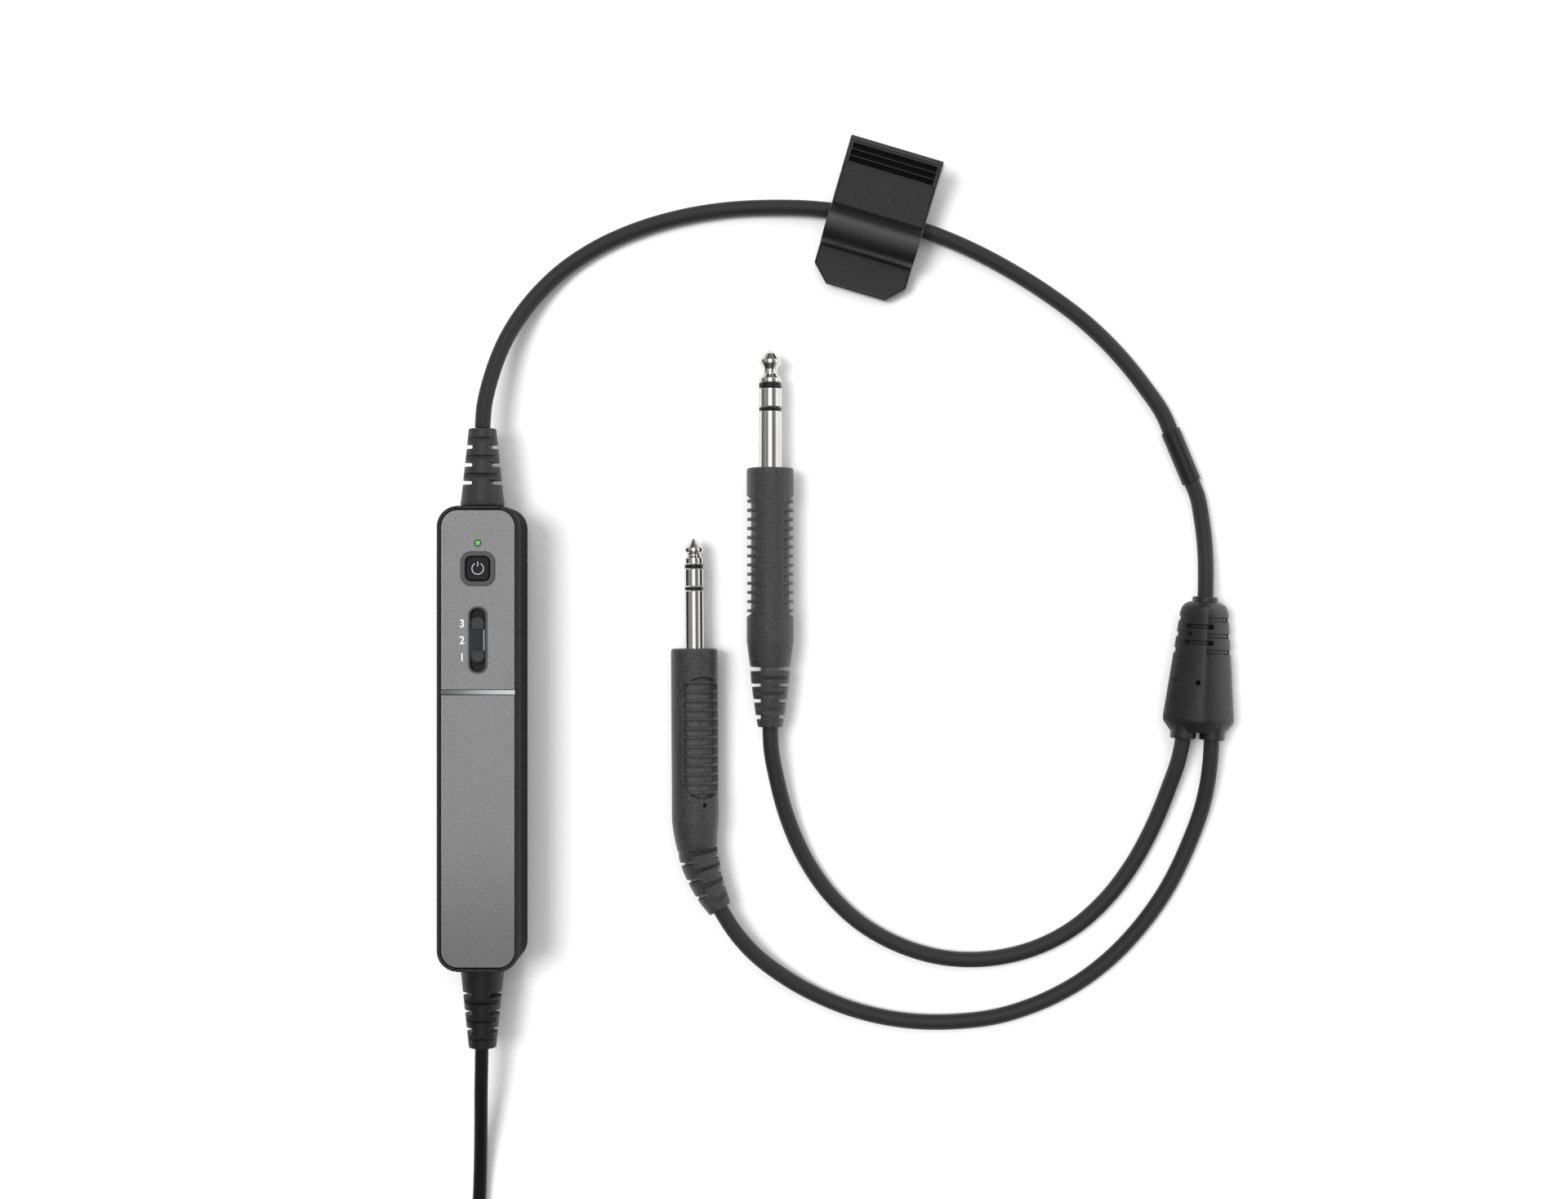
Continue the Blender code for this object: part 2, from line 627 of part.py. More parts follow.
def make_rear_shell():
    """The tub behind the bezel: battery bay open to the rear, electronics bay, screw bosses."""
    high = SEAM_Z - HALF_FIT
    shell = plate("rear_shell", rounded_rectangle(CASE_WIDTH, CASE_LENGTH, CASE_RADIUS),
                  0, high, "case_plastic")
    inside = CASE_WIDTH / 2 - WALL
    end = CASE_LENGTH / 2 - END_WALL
    bays = boxes("bays", [
        ((-inside, -end, BAY_FLOOR_Z), (inside, BAY_END_Y, high + PAST)),
        ((-inside, RIB_END_Y, BAY_FLOOR_Z), (inside, end, high + PAST)),
    ])
    door_zone = boxes("door_zone", [
        ((-CASE_WIDTH, -CASE_LENGTH, -PAST), (CASE_WIDTH, DOOR_END_Y + HALF_FIT, DOOR_TOP_Z + HALF_FIT)),
    ])
    necks = cylinder("neck_holes", BOOT_NECK_RADIUS + NECK_CLEARANCE, (0, -CASE_LENGTH, BOOT_Z),
                     (0, CASE_LENGTH, BOOT_Z))
    shell = combine(shell, [bays])
    rib = boxes("bay_rib", [
        ((-inside - RIB_SEAT, BAY_END_Y, BOSS_LOW_Z), (inside + RIB_SEAT, RIB_END_Y, high - HAIR)),
    ])
    bosses = at_screws("boss", SHELL_BOSS_RADIUS, BOSS_LOW_Z, high - HALF_FIT)
    shell = combine(shell, [rib, *bosses], "UNION")
    holes = at_screws("shell_hole", SHELL_HOLE_RADIUS, -PAST, high + PAST, 12)
    bore, floor = COUNTERBORE
    sinks = at_screws("counterbore", bore, -PAST, floor)
    wire_way = boxes("wire_way", [
        ((WIRE_WAY_X, BAY_END_Y - PAST, WIRE_WAY_Z), (inside - PAST, RIB_END_Y + PAST, high + PAST)),
    ])
    notches = end_notches("shell_notches", INSERT_LOW_Z - HALF_FIT)
    return combine(shell, [door_zone, notches, necks, *holes, *sinks, wire_way])


def make_battery_door():
    """The rear cover with side lips, inner hooks and thumb grooves. It slides off towards -Y."""
    door = plate("battery_door", rounded_rectangle(CASE_WIDTH, CASE_LENGTH, CASE_RADIUS),
                 0, DOOR_TOP_Z - HALF_FIT, "case_plastic")
    lip = CASE_WIDTH / 2 - DOOR_LIP
    room = boxes("door_room", [
        ((-lip, DOOR_LIP - CASE_LENGTH / 2, DOOR_SKIN), (lip, CASE_LENGTH, DOOR_TOP_Z + PAST)),
    ])
    beyond = boxes("beyond_door", [
        ((-CASE_WIDTH, DOOR_END_Y - HALF_FIT, -PAST), (CASE_WIDTH, CASE_LENGTH, DOOR_TOP_Z + 2 * PAST)),
    ])
    width, depth = THUMB_GROOVE
    grooves = boxes("thumb_grooves", [
        ((-THUMB_HALF, y, -PAST), (THUMB_HALF, y + width, depth)) for y in THUMB_ROWS
    ])
    door = combine(door, [room, beyond, grooves])
    near, far = HOOK_X
    low, high = HOOK_LEVELS
    hooks = boxes("door_hooks", [
        ((min(side * near, side * far), y, low), (max(side * near, side * far), y + HOOK_LENGTH, high))
        for side in (-1, 1) for y in HOOK_ROWS
    ])
    door = combine(door, [hooks], "UNION")
    return move_origin(door, (0, 0, DOOR_SKIN / 2))


def make_end_insert(name, side):
    """The plate that closes the notch in the case's end round a boot's neck."""
    inner, outer = INSERT_INNER_Y, CASE_LENGTH / 2
    half = INSERT_WIDTH / 2
    insert = boxes(name, [
        ((-half, min(side * inner, side * outer), INSERT_LOW_Z),
         (half, max(side * inner, side * outer), CASE_HEIGHT)),
    ], "case_plastic")
    hole = cylinder(f"{name}_hole", BOOT_NECK_RADIUS + NECK_CLEARANCE,
                    (0, side * (inner - PAST), BOOT_Z), (0, side * (outer + PAST), BOOT_Z))
    return combine(insert, [hole])


def make_face_plates():
    """Upper and lower metal face plates with the bright strip between them."""
    outline = rounded_rectangle(PLATE_WIDTH, PLATE_LENGTH, PLATE_RADIUS)
    upper = plate("upper_face_plate", outline, PLATE_LOW_Z, PLATE_HIGH_Z, "face_metal")
    lower = plate("lower_face_plate", outline, PLATE_LOW_Z, PLATE_HIGH_Z, "face_metal")
    edge = STRIP_SIZE / 2 + STRIP_GAP
    below = boxes("below_strip", [
        ((-CASE_WIDTH, -CASE_LENGTH, 0), (CASE_WIDTH, STRIP_Y + edge, CASE_HEIGHT + PAST)),
    ])
    above = boxes("above_strip", [
        ((-CASE_WIDTH, STRIP_Y - edge, 0), (CASE_WIDTH, CASE_LENGTH, CASE_HEIGHT + PAST)),
    ])
    low, high = PLATE_LOW_Z - PAST, PLATE_HIGH_Z + PAST
    size, radius = SURROUND_COLLAR
    button_hole = plate("button_hole", rounded_rectangle(
        size + FIT, size + FIT, radius + HALF_FIT, 3, (0, BUTTON_Y)), low, high)
    slot = plate("slider_hole", rounded_rectangle(
        SLOT_WIDTH + FIT, SLOT_LENGTH + FIT, SLOT_WIDTH / 2 - 0.1, 4, (0, SLOT_Y)), low, high)
    light = cylinder("light_hole", LIGHT_RADIUS + 0.2, (0, LIGHT_Y, low), (0, LIGHT_Y, high))
    upper = combine(upper, [below, button_hole, slot, light])
    lower = combine(lower, [above])
    half = PLATE_WIDTH / 2
    strip = boxes("accent_strip", [
        ((-half, STRIP_Y - STRIP_SIZE / 2, PLATE_LOW_Z),
         (half, STRIP_Y + STRIP_SIZE / 2, PLATE_HIGH_Z + 0.05)),
    ], "bright_strip")
    return upper, lower, strip


def make_power_button():
    """Square cap with a retaining flange, over the switch. It presses along -Z."""
    low, high = FLANGE_LEVELS
    cap = plate("power_button", rounded_rectangle(BUTTON_SIZE, BUTTON_SIZE, BUTTON_RADIUS, 4,
                                                  (0, BUTTON_Y)),
                high - 0.1, BUTTON_TOP_Z, "button_plastic")
    flange = plate("button_flange", rounded_rectangle(
        FLANGE_SIZE, FLANGE_SIZE, FLANGE_RADIUS, 3, (0, BUTTON_Y)), low, high)
    return move_origin(combine(cap, [flange], "UNION"), (0, BUTTON_Y, BUTTON_TOP_Z))


def make_button_surround():
    """The rounded square rim round the power button, seated on the upper face plate."""
    low, high = SURROUND_LEVELS
    rim = plate("button_surround", rounded_rectangle(
        SURROUND_SIZE, SURROUND_SIZE, SURROUND_RADIUS, 4, (0, BUTTON_Y)), low, high, "surround_plastic")
    size, radius = SURROUND_COLLAR
    collar = plate("surround_collar", rounded_rectangle(size, size, radius, 4, (0, BUTTON_Y)),
                   PLATE_HIGH_Z - 0.5, low + 0.2)
    size = BUTTON_SIZE + 2 * SURROUND_OPENING
    opening = plate("surround_opening", rounded_rectangle(
        size, size, BUTTON_RADIUS + SURROUND_OPENING, 4, (0, BUTTON_Y)), PLATE_LOW_Z - PAST, high + PAST)
    return combine(combine(rim, [collar], "UNION"), [opening])


def make_slider():
    """Slot frame and the slider: a domed knob, a stem and the shutter that covers the slot."""
    width, length, radius = SLOT_FRAME
    frame = plate("slot_frame", rounded_rectangle(width, length, radius, 4, (0, SLOT_Y)),
                  SURROUND_LEVELS[0], SLOT_FRAME_HIGH_Z, "surround_plastic")
    opening = plate("frame_opening", rounded_rectangle(
        SLOT_WIDTH, SLOT_LENGTH, SLOT_WIDTH / 2 - 0.2, 4, (0, SLOT_Y)), PLATE_LOW_Z, CASE_HEIGHT + PAST)
    frame = combine(frame, [opening])
    low, high = KNOB_LEVELS
    knob = plate("level_slider", rounded_rectangle(
        KNOB_WIDTH, KNOB_LENGTH, KNOB_WIDTH / 2 - 0.15, 4, (0, SLOT_Y)), low, high, "button_plastic")
    near, far, floor = KNOB_DIP
    dip = boxes("knob_dip", [
        ((-KNOB_WIDTH, SLOT_Y + near, floor), (KNOB_WIDTH, SLOT_Y + far, high + PAST)),
    ])
    knob = combine(knob, [dip])
    reach = SLOT_LENGTH / 2 + SLIDE_TRAVEL + FIT
    inside = [
        boxes(name, [((-wide, SLOT_Y - long, levels[0]), (wide, SLOT_Y + long, levels[1]))])
        for name, wide, long, levels in (
            ("slider_shutter", SHUTTER_HALF, reach, SHUTTER_LEVELS),
            ("slider_neck", *NECK_HALF, NECK_LEVELS),
            ("slider_stem", *STEM_HALF, STEM_LEVELS),
        )
    ]
    knob = combine(knob, inside, "UNION")
    return frame, move_origin(knob, (0, SLOT_Y, PLATE_HIGH_Z))


def make_electronics():
    """Circuit board, processor, the two switches and the status light with its lens."""
    board = boxes("circuit_board", [
        ((-BOARD_WIDTH / 2, BOARD_LOW_Y, BOARD_LOW_Z), (BOARD_WIDTH / 2, BOARD_HIGH_Y, BOARD_HIGH_Z)),
    ], "board")
    inner, below = BOARD_NOTCH
    low, high = BOARD_LOW_Z - PAST, BOARD_HIGH_Z + PAST
    clear = boxes("board_notches", [
        ((-BOARD_WIDTH, SCREW_Y - below, low), (inner - SCREW_X, CASE_LENGTH, high)),
        ((SCREW_X - inner, SCREW_Y - below, low), (BOARD_WIDTH, CASE_LENGTH, high)),
    ])
    combine(board, [clear])
    boxes("signal_processor", [(PROCESSOR_LOW, PROCESSOR_HIGH)], "chip")
    base = BOARD_HIGH_Z + 0.1
    switch = boxes("button_switch", [
        ((-SWITCH_HALF, BUTTON_Y - SWITCH_HALF, base), (SWITCH_HALF, BUTTON_Y + SWITCH_HALF, SWITCH_TOP_Z)),
    ], "chip")
    plunger = cylinder("plunger", PLUNGER_RADIUS, (0, BUTTON_Y, SWITCH_TOP_Z - 0.2),
                       (0, BUTTON_Y, PLUNGER_TOP_Z))
    combine(switch, [plunger], "UNION")
    wide, long = SLIDE_SWITCH_HALF
    slide = boxes("slide_switch_body", [
        ((-wide, SLOT_Y - long, base), (wide, SLOT_Y + long, SLIDE_SWITCH_TOP_Z)),
    ], "chip")
    wide, long, floor = SLIDE_GROOVE
    groove = boxes("slide_groove", [
        ((-wide, SLOT_Y - long, floor), (wide, SLOT_Y + long, SLIDE_SWITCH_TOP_Z + PAST)),
    ])
    combine(slide, [groove])
    wide, long = LIGHT_HALF
    boxes("status_light", [((-wide, LIGHT_Y - long, base), (wide, LIGHT_Y + long, LIGHT_TOP_Z))], "chip")
    cylinder("status_lens", LIGHT_RADIUS, (0, LIGHT_Y, LENS_LOW_Z), (0, LIGHT_Y, PLATE_HIGH_Z + 0.1),
             16, "status_lens")


def make_batteries():
    """Two cells end to end with their sprung and plain contacts."""
    nub_radius, nub_length = CELL_NUB
    for number in (1, 2):
        start = CELL_LOW_Y + (number - 1) * (CELL_LENGTH + FIT)
        end = start + CELL_LENGTH
        cell = cylinder(f"battery_cell_{number}", CELL_RADIUS, (0, start, CELL_Z),
                        (0, end - nub_length, CELL_Z), 24, "cell_jacket")
        nub = cylinder(f"cell_nub_{number}", nub_radius, (0, end - nub_length - PAST, CELL_Z),
                       (0, end, CELL_Z), 12)
        combine(cell, [nub], "UNION")
    boxes("contact_plate", [CONTACT_PLATE], "contact_nickel")
    boxes("spring_plate", [SPRING_PLATE], "contact_nickel")
    per_turn = 10
    steps = SPRING_TURNS * per_turn
    coil = []
    for i in range(steps + 1):
        share = i / steps
        angle = math.tau * i / per_turn
        radius = SPRING_RADII[0] + (SPRING_RADII[1] - SPRING_RADII[0]) * share
        along = SPRING_SPAN[0] + (SPRING_SPAN[1] - SPRING_SPAN[0]) * share
        coil.append((radius * math.cos(angle), along, CELL_Z + radius * math.sin(angle)))
    tube("contact_spring", coil, SPRING_WIRE, "contact_nickel", 1)


def make_screws():
    """The two screws that hold the bezel to the rear shell, driven from behind."""
    half_length, half_width, floor = SCREW_SLOT
    for side, word in ((-1, "left"), (1, "right")):
        name, x = f"case_screw_{word}", side * SCREW_X
        radius, low, high = SCREW_SHANK
        screw = cylinder(name, radius, (x, SCREW_Y, low - 0.1), (x, SCREW_Y, high), 12, "steel")
        radius, low, high = SCREW_HEAD
        head = cylinder(f"{name}_head", radius, (x, SCREW_Y, low), (x, SCREW_Y, high))
        screw = combine(screw, [head], "UNION")
        cross = boxes(f"{name}_slot", [
            ((x - half_length, SCREW_Y - half_width, 0), (x + half_length, SCREW_Y + half_width, floor)),
        ])
        combine(screw, [cross])


# Boots


def slot_cutters(name, levels, core, reach, thickness, across_x):
    """Pairs of boxes that cut slots from two opposite sides and leave a web of the core's width."""
    corners = []
    for level in levels:
        low, high = level - thickness / 2, level + thickness / 2
        for side in (-1, 1):
            inner, outer = sorted((side * core, side * reach))
            if across_x:
                corners.append(((inner, -reach, low), (outer, reach, high)))
            else:
                corners.append(((-reach, inner, low), (reach, outer, high)))
    return boxes(name, corners)


def make_boot(name, side, end):
    """Tapered strain relief with slots cut in turn from its sides and from its front and back."""
    start = CASE_LENGTH / 2 + FIT
    length = end - start
    neck_end = start - (INSERT_INNER_Y - 4 * FIT)
    flange_radius, flange = BOOT_FLANGE
    profile = [
        (0, length), (BOOT_END_RADIUS - 0.4, length), (BOOT_END_RADIUS, length - 0.4),
        (BOOT_BASE_RADIUS - 0.5, BOOT_STEP + 0.2), (BOOT_BASE_RADIUS, BOOT_STEP), (BOOT_BASE_RADIUS, 0),
        (BOOT_NECK_RADIUS, 0), (BOOT_NECK_RADIUS, -neck_end), (flange_radius, -neck_end),
        (flange_radius, -neck_end - flange), (0, -neck_end - flange),
    ]
    boot = turned(name, profile, 16, "boot_rubber")
    cutters = []
    for word, (first, pitch, core, width), across in (
        ("side", BOOT_SIDE_SLOTS, True), ("front", BOOT_FRONT_SLOTS, False),
    ):
        levels = [length - first - pitch * i for i in range(BOOT_SLOT_COUNT)]
        cutters.append(slot_cutters(f"{name}_{word}_slots", levels, core, SLOT_REACH, width, across))
    boot = combine(boot, cutters)
    turn = Matrix.Rotation(math.radians(-90 * side), 4, "X")
    place([boot], Matrix.Translation(Vector((0, side * start, BOOT_Z)) * MM) @ turn)
    return boot


# Cords


def make_cords():
    """The four tubes of cord, each along its own route."""
    for name, route, diameter in (
        ("main_cord", MAIN_ROUTE, MAIN_DIAMETER),
        ("inner_branch_cord", INNER_ROUTE, MAIN_DIAMETER),
        ("outer_branch_cord", OUTER_ROUTE, MAIN_DIAMETER),
        ("headset_cord", HEADSET_ROUTE, HEADSET_DIAMETER),
        ("headset_cord_tail", TAIL_ROUTE, HEADSET_DIAMETER),
    ):
        tube(name, smooth_route(route, diameter * POINT_SPACING), diameter / 2, "cord_jacket")


def make_coil():
    """The outer shape of the headset cord's coil and the tie round it."""
    profile = [
        (COIL_OUTER_RADIUS - 2.9, COIL_HIGH_Z), (COIL_OUTER_RADIUS - 1.2, 7.0),
        (COIL_OUTER_RADIUS, 3.6), (COIL_OUTER_RADIUS - 0.4, COIL_LOW_Z),
        (COIL_INNER_RADIUS + 0.4, COIL_LOW_Z), (COIL_INNER_RADIUS, 3.6),
        (COIL_INNER_RADIUS + 1.2, 7.0), (COIL_INNER_RADIUS + 2.9, COIL_HIGH_Z),
    ]
    coil = turned("headset_cord_coil", profile, 40, "cord_jacket", closed=True)
    place([coil], Matrix.Translation(Vector((*COIL_CENTRE, 0)) * MM))
    near = math.sqrt(COIL_INNER_RADIUS**2 - (TIE_WIDTH / 2) ** 2) - TIE_CLEARANCE
    far = COIL_OUTER_RADIUS + TIE_CLEARANCE
    low, high = 0.0, COIL_HIGH_Z + FIT
    wall = TIE_THICKNESS
    tie = boxes("coil_tie", [
        ((near - wall, -TIE_WIDTH / 2, low), (far + wall, TIE_WIDTH / 2, high + wall)),
    ], "tie_fabric")
    room = boxes("tie_room", [
        ((near, -TIE_WIDTH, COIL_LOW_Z - HALF_FIT), (far, TIE_WIDTH, high)),
    ])
    tie = combine(tie, [room])
    turn = Matrix.Rotation(math.radians(TIE_ANGLE), 4, "Z")
    place([tie], Matrix.Translation(Vector((*COIL_CENTRE, 0)) * MM) @ turn)


def make_connector():
    """The plug-in connector at the headset end of the cord: boot, shell, insert and contacts."""
    boot = turned("connector_boot", CONNECTOR_BOOT, 16, "boot_rubber")
    cutters = []
    for word, (levels, core, width), across in (
        ("side", CONNECTOR_SIDE_SLOTS, True), ("front", CONNECTOR_FRONT_SLOTS, False),
    ):
        cutters.append(slot_cutters(f"connector_{word}_slots", levels, core, SLOT_REACH, width, across))
    boot = combine(boot, cutters)
    shell = turned("connector_shell", CONNECTOR_SHELL, 24, "steel", closed=True)
    insert = turned("connector_insert", CONNECTOR_INSERT, 20, "insulator_plastic")
    top = CONNECTOR_INSERT[0][1] + PAST
    holes = []
    for i in range(CONTACT_COUNT):
        angle = math.tau * i / CONTACT_COUNT
        x, y = CONTACT_RING * math.cos(angle), CONTACT_RING * math.sin(angle)
        holes.append(cylinder(f"contact_hole_{i}", CONTACT_RADIUS, (x, y, CONTACT_FLOOR), (x, y, top), 8))
    insert = combine(insert, holes)
    frame = Matrix.Translation(Vector((*CONNECTOR_START, CONNECTOR_Z)) * MM) @ Matrix.Rotation(
        math.radians(90), 4, "Y")
    place([boot, shell, insert], frame)


def make_marker_sleeve():
    """The stiff sleeve round the straight stretch of the main cord."""
    half = SLEEVE_LENGTH / 2
    sleeve = turned("marker_sleeve", [
        (SLEEVE_RADIUS, half), (SLEEVE_RADIUS, -half), (SLEEVE_BORE, -half), (SLEEVE_BORE, half),
    ], 16, "sleeve_plastic", closed=True)
    turn = Vector((0, 0, 1)).rotation_difference(Vector(SLEEVE_DIRECTION)).to_matrix().to_4x4()
    place([sleeve], Matrix.Translation(Vector(SLEEVE_CENTRE) * MM) @ turn)


def splitter_section(share, scale):
    """One section's corners, a share of the way from the two-cord end to the one-cord end."""
    wide = SPLITTER_LOW_HALF[0] + (SPLITTER_TOP_HALF[0] - SPLITTER_LOW_HALF[0]) * share
    thick = SPLITTER_LOW_HALF[1] + (SPLITTER_TOP_HALF[1] - SPLITTER_LOW_HALF[1]) * share
    corners = []
    for i in range(SPLITTER_SIDES):
        across, deep = math.cos(math.tau * i / SPLITTER_SIDES), math.sin(math.tau * i / SPLITTER_SIDES)
        reach = scale / (abs(across) ** SPLITTER_POWER + abs(deep) ** SPLITTER_POWER) ** (1 / SPLITTER_POWER)
        corners.append((reach * across * wide, reach * deep * thick))
    return corners


def splitter_slots(length):
    """Cutters for the slots of each facet, in turn, and for the mould holes."""
    width, depth = FACET_SLOT
    cutters = []
    for word, facets, levels in (
        ("even", ((1, -1), (-1, 1)), EVEN_SLOTS), ("odd", ((-1, -1), (1, 1)), ODD_SLOTS),
    ):
        for sx, sy in facets:
            facing = math.atan2(sy * SPLITTER_LOW_HALF[0], sx * SPLITTER_LOW_HALF[1])
            for index, level in enumerate(levels):
                z = length - level
                surface = max(
                    x * math.cos(facing) + y * math.sin(facing)
                    for x, y in splitter_section(z / length, 1.0)
                )
                slot = boxes(f"{word}_slot_{index}_{sy}", [
                    ((surface - depth, -SLOT_REACH, z - width / 2), (SLOT_REACH, SLOT_REACH, z + width / 2)),
                ])
                slot.data.transform(Matrix.Rotation(facing, 4, "Z"))
                cutters.append(slot)
    radius, floor = MOULD_HOLE
    for index, (x, level) in enumerate(MOULD_HOLES):
        cutters.append(cylinder(f"mould_hole_{index}", radius, (x, -floor, length - level),
                                (x, -SLOT_REACH, length - level), 8))
    return cutters


def make_splitter():
    """The moulded Y-splitter: a lozenge in section that widens towards the two branch cords."""
    top, bottom = Vector((*SPLITTER_TOP, SPLITTER_Z)), Vector((*SPLITTER_BOTTOM, SPLITTER_Z))
    length = (top - bottom).length
    levels = SPLITTER_ENDS + [(length + below, scale) for below, scale in SPLITTER_SHOULDER]
    mesh = bmesh.new()
    rings = [
        [mesh.verts.new(Vector((x, y, z)) * MM) for x, y in splitter_section(z / length, scale)]
        for z, scale in levels
    ]
    mesh.faces.new(rings[0])
    mesh.faces.new(rings[-1])
    for low, high in zip(rings, rings[1:]):
        for i, corner in enumerate(low):
            j = (i + 1) % SPLITTER_SIDES
            mesh.faces.new((corner, low[j], high[j], high[i]))
    splitter = solid("y_splitter", mesh, "handle_rubber")
    collars = [
        cylinder("top_collar", COLLAR_RADIUS, (0, 0, length - COLLAR_SEAT),
                 (0, 0, length + TOP_COLLAR_LENGTH), 20),
        *(
            cylinder(f"lower_collar_{side}", COLLAR_RADIUS, (side * COLLAR_OFFSET, 0, COLLAR_SEAT),
                     (side * COLLAR_OFFSET, 0, -LOW_COLLAR_LENGTH), 20)
            for side in (-1, 1)
        ),
    ]
    for collar in collars:
        splitter = combine(splitter, [collar], "UNION")
    splitter = combine(splitter, splitter_slots(length))
    y_axis = Vector((0, 0, -1))
    z_axis = (top - bottom).normalized()
    x_axis = y_axis.cross(z_axis)
    turn = Matrix((x_axis, y_axis, z_axis)).transposed().to_4x4()
    place([splitter], Matrix.Translation(bottom * MM) @ turn)


# Clothing clip


def clip_frame():
    """Takes (u, v, z) of the clip to the part: u across it, v from the finger end to the jaw end."""
    return (
        Matrix.Translation(Vector((*CLIP_ORIGIN, 0)) * MM)
        @ Matrix.Rotation(math.radians(CLIP_TURN), 4, "Z")
        @ Matrix.Diagonal((1, -1, 1, 1))
    )


def from_clip(obj):
    """Takes a mesh from the clip's own frame, which is left-handed, to its place."""
    obj.data.transform(clip_frame())
    work = bmesh.new()
    work.from_mesh(obj.data)
    bmesh.ops.recalc_face_normals(work, faces=work.faces)
    work.to_mesh(obj.data)
    work.free()
    return obj


def clip_outline(start, end):
    """A plate's outline with its two jaw corners cut off."""
    half = CLIP_WIDTH / 2
    return [
        (-half + CLIP_CORNER, start), (half - CLIP_CORNER, start), (half, start + CLIP_CORNER),
        (half, end - CLIP_CHAMFER), (half - CLIP_CHAMFER, end), (-half + CLIP_CHAMFER, end),
        (-half, end - CLIP_CHAMFER), (-half, start + CLIP_CORNER),
    ]


def knuckle(name, inner, outer, base):
    """An ear or lug: round at the hinge axis and straight from there to its base."""
    side = 1 if base > 0 else -1
    outline = [(side * CLIP_KNUCKLE_RADIUS, base), (-side * CLIP_KNUCKLE_RADIUS, base)]
    for step in range(9):
        angle = math.pi * step / 8
        outline.append((-side * CLIP_KNUCKLE_RADIUS * math.cos(angle),
                        -side * CLIP_KNUCKLE_RADIUS * math.sin(angle)))
    made = plate(name, outline, inner, outer)
    made.data.transform(Matrix(((0, 0, 1, 0), (1, 0, 0, 0), (0, 1, 0, 0), (0, 0, 0, 1))))
    return made


def make_lower_jaw():
    """Flat plate with a trough for the cord and two ears that carry the hinge pin."""
    pin_v, pin_z = CLIP_PIN
    jaw = plate("clip_lower_jaw", clip_outline(-CLIP_LOWER_OVERHANG, CLIP_PLAN_LENGTH), 0,
                CLIP_LOWER_THICKNESS, "clip_plastic")
    trough = boxes("trough", [
        ((-CLIP_WIDTH, CLIP_TROUGH[0], CLIP_TROUGH_FLOOR),
         (CLIP_WIDTH, CLIP_TROUGH[1], CLIP_LOWER_THICKNESS + PAST)),
    ])
    jaw = combine(jaw, [trough])
    for side in (-1, 1):
        inner, outer = sorted((side * CLIP_EARS[0], side * CLIP_EARS[1]))
        ear = knuckle(f"ear_{side}", inner, outer, CLIP_EAR_SEAT_Z - pin_z)
        ear.data.transform(Matrix.Translation(Vector((0, pin_v, pin_z)) * MM))
        jaw = combine(jaw, [ear], "UNION")
    hole = cylinder("ear_hole", CLIP_PIN_RADIUS + CLIP_EAR_CLEARANCE, (-CLIP_WIDTH, pin_v, pin_z),
                    (CLIP_WIDTH, pin_v, pin_z), 14)
    half, width, depth = CLIP_TOOTH
    teeth = boxes("jaw_grooves", [
        ((-half, v, CLIP_LOWER_THICKNESS - depth), (half, v + width, CLIP_LOWER_THICKNESS + PAST))
        for v in CLIP_TEETH
    ])
    return from_clip(combine(jaw, [hole, teeth]))


def make_upper_jaw():
    """Pitched plate with the half-round hump over the hinge, its lugs and the finger grooves."""
    start, end = CLIP_UPPER_SPAN
    low, high = CLIP_UPPER_LEVELS
    hump_s, hump_n = CLIP_HUMP
    half = CLIP_WIDTH / 2
    jaw = plate("clip_upper_jaw", clip_outline(start, end), low, high, "clip_plastic")
    hump = cylinder("hump", CLIP_HUMP_RADIUS, (-half + HAIR, hump_s, hump_n),
                    (half - HAIR, hump_s, hump_n), 32)
    below = boxes("below_hump", [
        ((-CLIP_WIDTH, start, low - 2 * CLIP_HUMP_RADIUS), (CLIP_WIDTH, end, low + HAIR)),
    ])
    hump = combine(hump, [below])
    jaw = combine(jaw, [hump], "UNION")
    bore = cylinder("hump_bore", CLIP_HUMP_BORE, (-CLIP_WIDTH, hump_s, hump_n),
                    (CLIP_WIDTH, hump_s, hump_n), 32)
    first, pitch, width, depth = FINGER_GROOVES
    side = half - FINGER_GROOVE_SIDE
    grooves = boxes("finger_grooves", [
        ((-side, start + first + pitch * i, high - depth),
         (side, start + first + width + pitch * i, high + PAST))
        for i in range(FINGER_GROOVE_COUNT)
    ])
    jaw = combine(jaw, [bore, grooves])
    for side in (-1, 1):
        inner, outer = sorted((side * CLIP_LUGS[0], side * CLIP_LUGS[1]))
        jaw = combine(jaw, [knuckle(f"lug_{side}", inner, outer, CLIP_LUG_SEAT)], "UNION")
    hole = cylinder("lug_hole", CLIP_PIN_RADIUS + CLIP_LUG_CLEARANCE, (-CLIP_WIDTH, 0, 0),
                    (CLIP_WIDTH, 0, 0), 16)
    jaw = combine(jaw, [hole])
    pin_v, pin_z = CLIP_PIN
    pitch = Matrix.Translation(Vector((0, pin_v, pin_z)) * MM) @ Matrix.Rotation(
        math.radians(-CLIP_PITCH), 4, "X")
    jaw.data.transform(pitch)
    jaw = from_clip(jaw)
    return move_origin(jaw, clip_point(0, pin_v, pin_z))


def clip_point(u, v, z):
    """A point of the clip's own frame, in the part's millimetres."""
    return clip_frame() @ (Vector((u, v, z)) * MM) / MM


